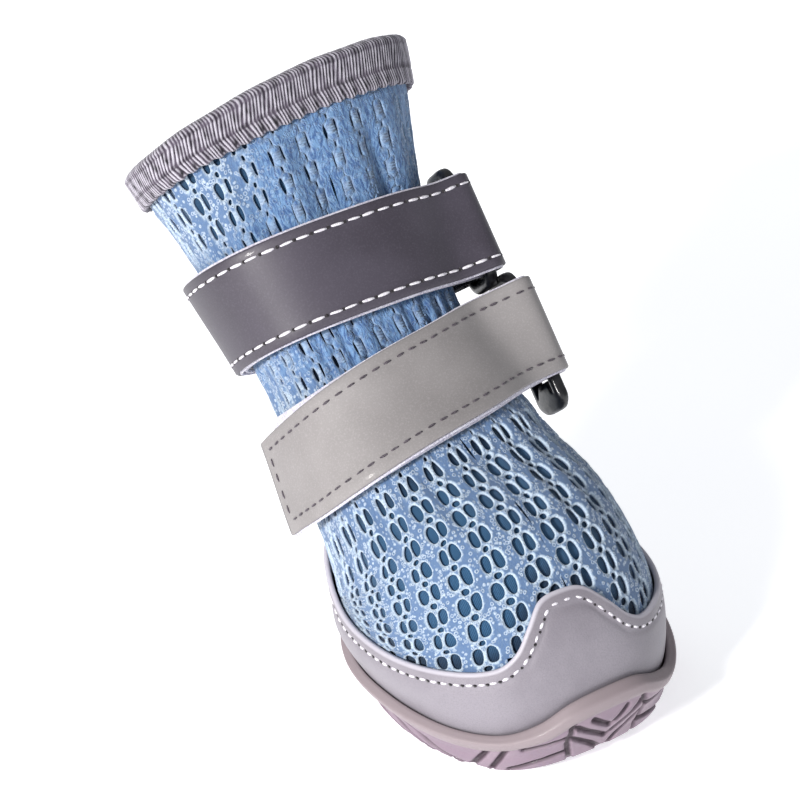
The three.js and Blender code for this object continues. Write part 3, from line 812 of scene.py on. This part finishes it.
# the angle and level a short step away on the skin
def stepOnSkin(angle, level, step):
    du = (skin(angle + 0.5, level) - skin(angle - 0.5, level))
    dv = (skin(angle, level + 0.01) - skin(angle, level - 0.01)) / 0.02
    uu, uv, vv = (du * du).sum(-1), (du * dv).sum(-1), (dv * dv).sum(-1)
    su, sv = (du * step).sum(-1), (dv * step).sum(-1)
    det = uu * vv - uv * uv
    return angle + (su * vv - sv * uv) / det, level + (sv * uu - su * uv) / det


# foxing: toe cap, low sides and heel counter, one band with a cut edge and a row of stitches
foxingSizes = {"inner": 0.35, "outer": 1.5, "inset": 2.0, "pitch": 2.35, "foot": 7.6, "columns": 480}


def makeFoxing():
    columns = foxingSizes["columns"]
    angles = np.linspace(0, 360, columns, endpoint=False)
    low = levelAtHeight(angles, foxingSizes["foot"])
    high = levelAtHeight(angles, aroundTable(foxingHeights, angles - capTurn))
    edgeLine = skin(angles, high)
    along = unit(np.roll(edgeLine, -1, 0) - np.roll(edgeLine, 1, 0))
    upward = unit(skin(angles, high) - skin(angles, high - 0.05))
    slant = np.sqrt(np.clip(1 - (along * upward).sum(-1) ** 2, 0.15, 1))
    length = np.linalg.norm(skin(angles, high) - skin(angles, low), axis=-1) * 1.04
    depths = [0.25, 0.5, 0.85, 1.2, 1.5, 1.75, 2.0, 2.25, 2.5, 2.9, 3.4, 4.2]
    rings, edge, rows = [], [], []
    for depth in depths:
        down = np.minimum(depth / slant, length * 0.9)
        rows.append((1 - down / length, depth))
    for k in range(1, 19):
        rows.append((rows[11][0] * (1 - k / 18), depths[-1] + k * 0.5))
    inner, outer = foxingSizes["inner"], foxingSizes["outer"]
    for share, depth in reversed(rows):
        # drawn in by the stitches, and rounded towards the cut edge
        pulled = 0.22 * math.exp(-((depth - foxingSizes["inset"]) / 0.45) ** 2)
        rounded = 0.12 * math.exp(-depth / 0.35)
        rings.append(offSkin(angles, low + (high - low) * share, outer - pulled - rounded))
        edge.append(np.full(columns, 0.0 if depth > 0.4 else 0.7))
    cutEdge = ((0.0, outer - 0.22), (0.12, outer - 0.42), (0.16, (outer + inner) / 2), (0.12, inner + 0.1))
    for rise, out in cutEdge:
        rings.append(offSkin(angles, high, out) + upward * rise)
        edge.append(np.full(columns, 1.0))
    for share in (0.9, 0.5, 0.0):
        rings.append(offSkin(angles, low + (high - low) * share, inner))
        edge.append(np.zeros(columns))
    points, faces = ringSkin(rings, True)
    uv = np.zeros((len(points), 2))
    addPiece("foxing_band", points, faces, finishes["foxing"], ("foxing",), uv,
             {"edge": np.array(edge).ravel()})
    inward = unit(np.cross(skinNormal(angles, high), along)) * -1
    inward = np.where((inward * upward).sum(-1, keepdims=True) > 0, -inward, inward)
    turned, level = stepOnSkin(angles, high, inward * foxingSizes["inset"])
    order = np.append(np.arange(columns), 0)
    path = offSkin(turned, level, outer - 0.12)[order]
    makeStitches("foxing_stitches", path, skinNormal(turned, level)[order], foxingSizes["pitch"],
                 "whiteThread", length=0.52, thick=0.29)


makeFoxing()
print("foxing made")


# outsole: cup, rolled rim, charted side tread, and the channels underneath
soleSizes = {
    "columns": 640, "cupFloor": 5.2, "plainRim": 3.3, "grooveWidth": 1.05, "grooveDepth": 0.95,
    "channel": dict(depth=1.1, width=1.9, pitch=8.6, middle=4.3, reach=38, sweep=22, apex=1.2),
}
soleSide = [(0.0, -0.6), (0.12, 2.9), (0.35, 4.1), (0.62, 4.5), (0.86, 4.4), (0.95, 4.2), (1.0, 3.3)]
# grooves of the side tread: a is the distance round from the toe centre, h the height over the ground
toeGrooves = [
    [(0.0, 9.6), (3.4, 12.8)],
    [(0.0, 6.0), (6.6, 12.2)],
    [(0.0, 2.2), (7.4, 9.2)],
    [(7.2, 14.0), (8.4, 8.0), (7.6, 2.0)],
    [(8.6, 10.0), (16.6, 7.6), (17.4, 10.2)],
    [(8.2, 5.4), (15.6, 3.4), (20.2, 1.8)],
    [(18.6, 9.8), (21.4, 5.0), (24.0, 1.6)],
    [(22.6, 8.6), (24.8, 5.4), (28.0, 2.0)],
]
bladeStarts = [25.5, 33.0, 41.0, 49.5, 58.5, 67.0, 75.5]
heelGrooves = [
    [(0.0, 5.2), (5.6, 9.2)],
    [(0.0, 1.6), (6.6, 6.2)],
    [(6.6, 9.6), (7.6, 2.0)],
    [(8.6, 6.2), (15.0, 5.2), (16.0, 8.6)],
    [(8.2, 2.6), (17.0, 1.8)],
]


def underside(y):
    toe = np.where(y < -21, 2.6 * ((-21 - y) / 11) ** 2, 0)
    heel = np.where(y > 23, 1.2 * ((y - 23) / 8) ** 2, 0)
    t = (y - 5) / 8
    arch = np.where((t > 0) & (t < 1), 0.9 * np.sin(np.pi * np.clip(t, 0, 1)), 0)
    return toe + heel + arch


def awayFrom(a, h, line):
    best = np.full(a.shape, 99.0)
    for (a0, h0), (a1, h1) in zip(line[:-1], line[1:]):
        da, dh = a1 - a0, h1 - h0
        t = np.clip(((a - a0) * da + (h - h0) * dh) / (da * da + dh * dh), 0, 1)
        best = np.minimum(best, np.hypot(a - a0 - t * da, h - h0 - t * dh))
    return best


def sideGroove(a, h, backwards):
    width = soleSizes["grooveWidth"] / 2
    cut = np.zeros(a.shape)
    for line in toeGrooves:
        cut = np.maximum(cut, 1 - smooth(width - 0.18, width + 0.22, awayFrom(a, h, line)))
    for k, begin in enumerate(bladeStarts):
        reach = 19.0
        t = np.linspace(0, 1, 7)
        line = list(zip(begin + reach * t, 0.9 + 6.3 * t ** 1.7))
        thin = width * (1.1 - 0.35 * np.clip((a - begin) / reach, 0, 1))
        cut = np.maximum(cut, 1 - smooth(thin - 0.18, thin + 0.22, awayFrom(a, h, line)))
    for line in heelGrooves:
        cut = np.maximum(cut, 1 - smooth(width - 0.18, width + 0.22, awayFrom(backwards, h, line)))
    return cut


def channelCut(x, y):
    size = soleSizes["channel"]
    cut = np.zeros(x.shape)
    for row in range(-3, 4):
        middle = size["middle"] + row * size["pitch"]
        point = 1 if row < 1 else -1
        line = [(size["apex"], middle), (size["reach"], middle - point * size["sweep"])]
        away = awayFrom(np.abs(x), y, line)
        cut = np.maximum(cut, 1 - smooth(size["width"] / 2 - 0.2, size["width"] / 2 + 0.25, away))
    return cut


def makeOutsole():
    size = soleSizes
    fine = np.linspace(0, 360, 1441)
    outline = offSkin(fine, levelAtHeight(fine, 9.0), 4.4)
    run = np.concatenate([[0], np.cumsum(np.linalg.norm(np.diff(outline, axis=0), axis=1))])
    arc = np.linspace(0, run[-1], size["columns"], endpoint=False)
    angles = np.interp(arc, run, fine)
    fromToe, fromHeel = np.minimum(arc, run[-1] - arc), np.abs(arc - run[-1] / 2)
    shares, outs = np.array(soleSide).T
    rim, base = aroundTable(rimHeights, angles), offSkin(angles, 0.0, -0.6)
    rings, hollowShade, crown = [], [], []
    for share in np.concatenate([np.linspace(0.03, 0.9, 34), np.linspace(0.92, 1.0, 6)]):
        ring = base * share
        cut = channelCut(ring[:, 0], ring[:, 1])
        ring[:, 2] = underside(ring[:, 1]) + cut * size["channel"]["depth"]
        rings.append(ring)
        hollowShade.append(cut)
        crown.append(np.zeros(len(angles)))
    start = underside(base[:, 1])
    sideShares = np.concatenate([np.linspace(0.02, 0.1, 4), np.linspace(0.13, 0.9, 44),
                                 np.linspace(0.92, 1.0, 7)])
    fineShares, ends = np.linspace(0, 1, 401), 14
    curve = np.interp(fineShares, shares, outs)
    kernel = np.hanning(31) / np.hanning(31).sum()
    curve = np.convolve(np.pad(curve, 15, mode="edge"), kernel, "valid")
    curve[:ends] = np.interp(fineShares[:ends], shares, outs)
    curve[-ends:] = np.linspace(curve[-ends], 3.1, ends)
    for share in sideShares:
        height = start + (rim - start) * share
        below = rim - height
        plain = smooth(size["plainRim"] - 0.3, size["plainRim"] + 0.15, below)
        lip = 0.28 * (1 - smooth(size["plainRim"] - 1.0, size["plainRim"] - 0.1, below))
        lip = lip * smooth(0.0, 0.9, below)
        cut = sideGroove(fromToe, height, fromHeel) * plain * smooth(0.0, 0.9, height - start + 0.5)
        out = np.interp(share, fineShares, curve) + lip - 0.25 * plain * (share > 0.1)
        out = out - cut * size["grooveDepth"]
        level = levelAtHeight(angles, np.maximum(height, 5))
        ring = offSkin(angles, level, out)
        ring[:, 2] = height
        rings.append(ring)
        hollowShade.append(cut)
        crown.append(1 - plain)
    roll = [(0.35, 2.55), (0.25, 2.15), (-0.35, 1.98)]
    for rise, out in roll:
        level = levelAtHeight(angles, rim)
        ring = offSkin(angles, level, out)
        ring[:, 2] = rim + rise
        rings.append(ring)
        hollowShade.append(np.full(len(angles), 0.0))
        crown.append(np.ones(len(angles)))
    # cup wall and floor inside: painted shade at 0.6
    for share in (0.66, 0.33, 0.05):
        height = 6.1 + (rim - 6.3) * share
        rings.append(offSkin(angles, levelAtHeight(angles, height), 1.95))
        hollowShade.append(np.full(len(angles), 0.6))
        crown.append(np.zeros(len(angles)))
    floor = offSkin(angles, levelAtHeight(angles, 5.6), 0.3)
    floor[:, 2] = size["cupFloor"]
    rings.append(floor)
    hollowShade.append(np.full(len(angles), 0.6))
    crown.append(np.zeros(len(angles)))
    points, faces = ringSkin(rings, False)
    marks = {"hollowShade": np.append(np.array(hollowShade).ravel(), (0, 0.6)),
             "crown": np.append(np.array(crown).ravel(), (0, 0))}
    return addPiece("outsole_tread", points, faces, finishes["rubber"], ("outsole",),
                    None, marks)


makeOutsole()
print("outsole made")


# insole
insoleSizes = {"floor": 5.5, "edge": -2.3}


def makeInsole():
    angles = np.linspace(0, 360, 120, endpoint=False)
    level = levelAtHeight(angles, 5.6)
    rings = []
    for share, rise in ((0.94, 0.0), (0.995, 0.25), (1.0, 0.9), (0.99, 1.6), (0.95, 1.95), (0.8, 1.9),
                        (0.6, 1.75), (0.4, 1.7), (0.2, 1.68), (0.05, 1.68)):
        ring = offSkin(angles, level, insoleSizes["edge"]) * share
        ring[:, 2] = insoleSizes["floor"] + rise
        rings.append(ring)
    points, faces = ringSkin(rings, False)
    return addPiece("insole_cloth", points, faces, finishes["insole"], ("insole",))


makeInsole()


# collar binding: knitted tape folded over the collar, ribs in a zigzag, with painted shade in the troughs
# and gaps between them
bindingSizes = {"drop": 5.9, "near": 0.3, "tape": 1.2, "wall": 1.8, "ribPitch": 0.72, "repeat": 2.9,
                "ribHeight": 0.34, "bandHeight": 3.3}


def makeBinding():
    size = bindingSizes
    turns = np.linspace(0, 1, 1200, endpoint=False)
    fine = np.linspace(0, 1, 721)
    collarAngles = np.interp(turns, fine, mapAngles[-1])
    lengthRound = np.linalg.norm(np.diff(skin(mapAngles[-1], float(topLevel)), axis=0), axis=1).sum()
    arc = turns * lengthRound
    step = np.linalg.norm(middleLine(topLevel) - middleLine(topLevel - 1))
    outer, inner = size["near"] + size["tape"], -size["wall"] - size["near"] - size["tape"] + 0.2
    profile = [(size["drop"], size["near"] + 0.1), (size["drop"] + 0.12, outer - 0.5),
               (size["drop"] - 0.12, outer - 0.12)]
    profile += [(size["drop"] - 0.4 - k * 0.36, outer) for k in range(15)]
    mid, half = (outer + inner) / 2, (outer - inner) / 2
    profile += [(-1.35 * math.sin(t), mid + half * math.cos(t))
                for t in np.linspace(0.1, math.pi - 0.1, 11)]
    profile += [(0.3 + k * 0.9, inner) for k in range(5)]
    profile += [(size["drop"] - 1.3, inner + 0.4), (size["drop"] - 1.3, inner + 0.9)]
    up = sectionPlane(topLevel)[1]
    ribs = round(lengthRound / size["ribPitch"])
    repeats = round(lengthRound / size["repeat"])
    rings, yarns, gapShades = [], [], []
    travelled = 0.0
    previous = profile[0]
    for drop, out in profile:
        travelled += math.hypot(drop - previous[0], out - previous[1])
        previous = (drop, out)
        v = travelled / size["bandHeight"] / 2
        band = (v * 2.0) % 1
        lean = (1 if int(v * 2.0) % 2 == 0 else -1) * (band - 0.5) * 1.15
        edgeWave = 0.16 * np.sin(2 * math.pi * repeats * turns) * (drop > size["drop"] - 0.8)
        wander = 0.35 * np.sin(9 * 2 * math.pi * turns + v) + 0.2 * np.sin(31 * 2 * math.pi * turns)
        yarn = np.abs(np.cos(math.pi * (ribs * turns + lean / size["ribPitch"] + wander)))
        # the yarn mark drops in the troughs and at the band edges, where the finish paints shade
        gap = np.exp(-min(band, 1 - band) ** 2 / 0.006)
        yarn = yarn * (1 - 0.45 * gap) * (0.86 + 0.14 * np.sin(53 * 2 * math.pi * turns + 3 * v))
        phase = (repeats * turns + 0.5 * (int(v * 2.0) % 2)) % 1
        # dark spots between the zigzags, dented in a little and painted as shade in the gaps
        gapShade = np.exp(-((phase - 0.5) / 0.13) ** 2 - ((band - 0.5) / 0.2) ** 2)
        gapShade = gapShade * (0.25 + 0.75 * (yarn < 0.75))
        gapShade = gapShade * (0.75 + 0.25 * np.sin(17 * 2 * math.pi * turns + 5 * v))
        gapShade = gapShade * (0.0 < v) * (drop < size["drop"] - 0.3)
        level = topLevel - np.maximum(drop + edgeWave, 0) / step
        hump = 0.1 * np.sin(2 * math.pi * 5 * turns + 1) + 0.07 * np.sin(2 * math.pi * 11 * turns)
        swell = (yarn - 0.7) * size["ribHeight"] * np.sign(out - mid) - 0.12 * gapShade
        ring = offSkin(collarAngles, level, out + swell)
        ring = ring + up * (max(-drop, 0) + hump + (0.12 * (yarn - 0.7) if drop < 0 else 0))[:, None]
        rings.append(ring)
        yarns.append(yarn)
        gapShades.append(gapShade)
    points, faces = ringSkin(rings, True)
    form = (len(rings), len(turns))
    uv = np.stack([np.broadcast_to(arc / 10, form),
                   np.broadcast_to(np.linspace(0, 1.6, len(rings))[:, None], form)], -1)
    marks = {"yarn": np.array(yarns).ravel(), "gapShade": np.clip(np.array(gapShades) * 1.3, 0, 1).ravel()}
    return addPiece("collar_binding_tape", points, faces, finishes["binding"],
                    ("collar_binding",), uv, marks)


makeBinding()
print("binding made")


# straps, ring tabs and rings
ringSizes = {"width": 12.5, "bar": 2.3, "besideStrap": 0.6, "corner": 2.6, "turn": 5, "solidBar": 2.1}
leaves = {"front": 46, "back": 112}
foldRadius = ringSizes["solidBar"] * math.sqrt(0.5) + strapSizes["barGap"] + strapSizes["thickness"] / 2


def ringFrame(strap):
    level = levelBelow(strap["below"] - strap["tilt"])
    back, up = sectionPlane(level)
    turn = math.radians(ringSizes["turn"])
    away = back * math.cos(turn)
    away[0] = math.sin(turn)
    bar = middleLine(level) - back * strap["barFore"]
    bar[0] += strap["barX"]
    return bar, away, np.cross(away, up), up


def bandPoint(strap, angle, side, out, droop=0.0):
    below = strap["below"] - strap["tilt"] * np.sin(np.radians(angle)) - side * strapSizes["width"] / 2
    return offSkin(angle, levelBelow(below + droop), out)


# centre lines of a band for each share across its width, from one end on the shaft, round the bar and back
def bandLines(strap, begin, end, leave, way, sides, tipLift=0.0):
    near = strapSizes["bandGap"] + strapSizes["thickness"] / 2
    far = near + strapSizes["thickness"] + strapSizes["betweenLayers"]
    bar, away, outward, up = ringFrame(strap)
    if way < 0:
        bar = bar + away * (ringSizes["width"] - ringSizes["solidBar"])
    start = bandPoint(strap, float(leave), 0.0, near)
    ahead = bar - start
    ahead = unit(ahead - up * (ahead @ up))
    out = np.cross(ahead, up)
    lines = []
    for side in sides:
        firstAngles = np.linspace(begin, leave, max(int(abs(leave - begin) / 2), 3))
        first = bandPoint(strap, firstAngles, side, near)
        middle = bar + up * side * strapSizes["width"] / 2
        fold = [middle + (ahead * math.cos(t) + out * math.sin(t)) * foldRadius
                for t in np.radians(np.arange(-90, 91, 15))]
        secondAngles = np.linspace(leave, end, max(int(abs(leave - end) / 2), 3))
        lift = tipLift * smooth(26, 0, np.abs(secondAngles - end))
        tipShare = (secondAngles - leave) / (end - leave)
        droop = strap["droop"] * tipShare ** 4 * (way > 0)
        second = bandPoint(strap, secondAngles, side, far + lift, droop)
        span = lambda p, q: [p + (q - p) * k / 14 for k in range(1, 14)]
        line = np.array([*first, *span(first[-1], fold[0]), *fold, *span(fold[-1], second[0]), *second])
        foldAt = len(first) + 13 + len(fold) / 2
        ease = smooth(8, 14, np.abs(np.arange(len(line)) - foldAt))[1:-1, None]
        for k in range(36):
            eased = line[1:-1] * 0.5 + (line[:-2] + line[2:]) * 0.25
            line[1:-1] += (eased - line[1:-1]) * (ease if k > 2 else 1)
        lines.append(line)
    marks = (len(firstAngles), len(firstAngles) + 13, len(firstAngles) + 26)
    return np.array(lines), marks


def bandNormals(lines):
    ahead = np.gradient(lines, axis=1)
    across = np.broadcast_to(unit(lines[-1] - lines[0])[None], lines.shape)
    return unit(np.cross(ahead, across)), across


# closed band through centre lines, between two distances along its normal, wider than the lines by grow
def bandBody(lines, near, far, grow, soften=0.3):
    normals, across = bandNormals(lines)
    rows = []
    count = len(lines)
    tuck = np.linspace(-1, 1, count)
    wider = [np.sign(tuck[k]) if k in (0, count - 1) else 0 for k in range(count)]
    reach = lambda k, extra: lines[k] + across[k] * (extra * wider[k])
    for k in range(count):
        rows.append(reach(k, grow - soften) + normals[k] * far)
    rows.append(reach(count - 1, grow) + normals[-1] * (far - (far - near) * 0.28))
    rows.append(reach(count - 1, grow) + normals[-1] * (near + (far - near) * 0.28))
    for k in range(count - 1, -1, -1):
        rows.append(reach(k, grow - soften) + normals[k] * near)
    rows.append(reach(0, grow) + normals[0] * (near + (far - near) * 0.28))
    rows.append(reach(0, grow) + normals[0] * (far - (far - near) * 0.28))
    rings = np.array(rows).transpose(1, 0, 2)
    points, faces = ringSkin(rings, False)
    return points, [f[::-1] for f in faces]


def outwardFaces(piece):
    work = bmesh.new()
    work.from_mesh(piece.data)
    bmesh.ops.recalc_face_normals(work, faces=work.faces)
    work.to_mesh(piece.data)
    work.free()


strapLooks = {
    "upper": dict(face="strapUpper", slot="strap_dark", thread="whiteThread", holes=True, inset=1.9,
                  pitch=3.3, length=0.74, thick=0.27, lift=0.3),
    "lower": dict(face="strapLower", slot="strap_light", thread="darkThread", holes=False, inset=2.4,
                  pitch=2.6, length=0.6, thick=0.24, lift=1.6),
}
threadOver = 0.74   # a stitch's middle, out from the middle of the strap


def makeStrap(level):
    strap, look = strapSizes[level], strapLooks[level]
    sides = np.linspace(-1, 1, 13)
    lines, marks = bandLines(strap, strap["root"], strap["tip"], leaves["front"], 1, sides, look["lift"])
    points, faces = bandBody(lines, -0.7, -0.02, 0.0)
    face = addPiece(f"strap_{level}_face", points, faces, finishes[look["face"]],
                    (f"strap_{level}",))
    outwardFaces(face)
    points, faces = bandBody(lines, 0.0, 0.68, 0.35)
    back = addPiece(f"strap_{level}_loop", points, faces, finishes["fuzz"])
    outwardFaces(back)
    normals, across = bandNormals(lines)
    over = slice(marks[1] + 6, lines.shape[1] - 3)
    where = 1 - look["inset"] / (strapSizes["width"] / 2)
    for word, share in (("top", where), ("foot", -where)):
        k = (share + 1) / 2 * (len(sides) - 1)
        low, part = int(k), k - int(k)
        line = lines[low] * (1 - part) + lines[low + 1] * part
        lean = -(normals[low] * (1 - part) + normals[low + 1] * part)
        makeStitches(f"strap_{level}_stitches_{word}", (line + lean * threadOver)[over], lean[over],
                     look["pitch"], look["thread"], look["length"], look["thick"],
                     look["holes"])
    tip = lines[:, -4]
    lean = -normals[:, -4]
    inner = [i for i, s in enumerate(sides) if abs(s) <= where + 0.02]
    root = lines[:, 4] + normals[:, 4] * 0.7
    makeStitches(f"strap_{level}_stitches_root", root[inner], normals[:, 4][inner], 2.2,
                 look["thread"], length=0.66, thick=0.26, holes=False)
    makeStitches(f"strap_{level}_stitches_tip", (tip + lean * threadOver)[inner], lean[inner],
                 look["pitch"], look["thread"], look["length"], look["thick"], look["holes"])


def makeTab(level):
    strap = strapSizes[level]
    sides = np.linspace(-1, 1, 9)
    lines, _ = bandLines(strap, 168, 160, leaves["back"], -1, sides)
    points, faces = bandBody(lines, -0.65, 0.65, 0.0, 0.35)
    uv = np.zeros((len(points), 2))
    rows = lines.shape[1]
    ring = (len(points) - 2) // rows
    far = np.linspace(0, rows * 0.08, rows)
    uv[:-2, 0] = np.repeat(far, ring)
    uv[:-2, 1] = np.tile(np.linspace(0, 4, ring), rows)
    tab = addPiece(f"ring_tab_{level}_webbing", points, faces, finishes["webbing"],
                   (f"ring_tab_{level}",), uv)
    outwardFaces(tab)


def makeRing(level):
    size, strap = ringSizes, strapSizes[level]
    bar, away, outward, up = ringFrame(strap)
    centre = bar + away * (size["width"] - size["solidBar"]) / 2 - up * strap["ringDrop"]
    halfLong, halfWide = (strap["ringLength"] - size["bar"]) / 2, (size["width"] - size["bar"]) / 2
    # the foot of the ring is solid from its end up to the strap
    pastStrap = strap["ringLength"] / 2 + strap["ringDrop"] - strapSizes["width"] / 2
    block = pastStrap - size["bar"] - size["besideStrap"]
    path = []
    for cx, cy, begin in ((1, 1, 0), (-1, 1, 90), (-1, -1, 180), (1, -1, 270)):
        for t in np.radians(np.linspace(begin, begin + 90, 9)):
            path.append((cx * (halfWide - size["corner"]) + size["corner"] * math.cos(t),
                         cy * (halfLong - size["corner"]) + size["corner"] * math.sin(t)))
    path = np.array(path)
    ahead = unit(np.roll(path, -1, 0) - np.roll(path, 1, 0))
    side = np.stack([ahead[:, 1], -ahead[:, 0]], -1)
    rings = []
    for (px, py), (nx, ny) in zip(path, side):
        extra = max(block, 0) * smooth(0.7, 0.98, -py / halfLong) * abs(ny)
        thick = size["bar"] + extra
        middle = centre + away * px + up * (py + extra / 2)
        sideways = away * nx + up * ny
        ring = []
        for t in np.linspace(0, 2 * math.pi, 16, endpoint=False):
            c, s = math.cos(t), math.sin(t)
            a = np.sign(c) * abs(c) ** 0.6 * thick / 2
            b = np.sign(s) * abs(s) ** 0.6 * size["bar"] / 2
            ring.append(middle + sideways * a + outward * b)
        rings.append(ring)
    points, faces = ringSkin(rings, True)
    ring = addPiece(f"ring_{level}_plastic", points, faces, finishes["plastic"],
                    (f"ring_{level}",))
    outwardFaces(ring)


for level in ("upper", "lower"):
    makeStrap(level)
    makeTab(level)
    makeRing(level)
print("straps, tabs and rings made")


# floor, light and camera
# aim: how far the view's centre lies right of and above the origin, in metres
viewSizes = {"azimuth": -29, "elevation": 35, "roll": 6.5, "distance": 0.7, "lens": 167.4,
             "aim": (-0.0201, 0.0533)}


def makeStage():
    floor = Finish("paleFloor", 0.9, specular=0.2)
    cloud = floor.noise(6.0, floor.place(), 2.0)
    surface = floor.done(floor.mix(floor.spread(cloud, 0.3, 0.7), (0.86, 0.86, 0.87, 1),
                                   (0.9, 0.9, 0.91, 1)))
    floor.shader.inputs["Emission Color"].default_value = (0.97, 0.98, 1.0, 1)
    floor.shader.inputs["Emission Strength"].default_value = 0.6
    bpy.ops.mesh.primitive_plane_add(size=8, location=(0, 0, -0.0002))
    ground = bpy.context.object
    ground.name = "floor"
    ground.data.materials.append(surface)
    world = bpy.data.worlds.new("studio")
    bpy.context.scene.world = world
    world.use_nodes = True
    world.node_tree.nodes["Background"].inputs[0].default_value = (0.93, 0.96, 1.0, 1)
    world.node_tree.nodes["Background"].inputs[1].default_value = 0.34
    for name, place, power, size, colour in (
        ("keyLight", (-0.98, -0.42, 0.62), 19.5, 0.2, (1.0, 0.98, 0.96)),
        ("fillLight", (0.1, -1.1, 0.25), 1.2, 0.7, (0.9, 0.94, 1.0)),
        ("backLight", (-0.2, 0.95, 0.8), 3.0, 0.6, (0.95, 0.97, 1.0)),
    ):
        lamp = bpy.data.lights.new(name, "AREA")
        lamp.energy, lamp.size, lamp.color = power, size, colour
        shown = bpy.data.objects.new(name, lamp)
        shown.location = place
        ahead = Vector((0, 0.02, 0.05)) - Vector(place)
        shown.rotation_euler = ahead.to_track_quat("-Z", "Y").to_euler()
        bpy.context.scene.collection.objects.link(shown)


def makeCamera():
    a, e, r = (math.radians(viewSizes[key]) for key in ("azimuth", "elevation", "roll"))
    back = Vector((math.sin(a) * math.cos(e), -math.cos(a) * math.cos(e), math.sin(e)))
    right = Vector((math.cos(a), math.sin(a), 0))
    up = back.cross(right)
    turned = right * math.cos(r) - up * math.sin(r)
    camera = bpy.data.objects.new("camera", bpy.data.cameras.new("camera"))
    camera.data.lens = viewSizes["lens"]
    camera.data.clip_start = 0.01
    place, over = back * viewSizes["distance"], back.cross(turned)
    z = (place - turned * viewSizes["aim"][0] - over * viewSizes["aim"][1]).normalized()
    x = over.cross(z).normalized()
    rows = Matrix((x, z.cross(x), z)).transposed()
    camera.matrix_world = Matrix.Translation(place) @ rows.to_4x4()
    bpy.context.scene.collection.objects.link(camera)
    bpy.context.scene.camera = camera


makeStage()
makeCamera()
bpy.context.scene.view_settings.view_transform = "Standard"
print("stage made")
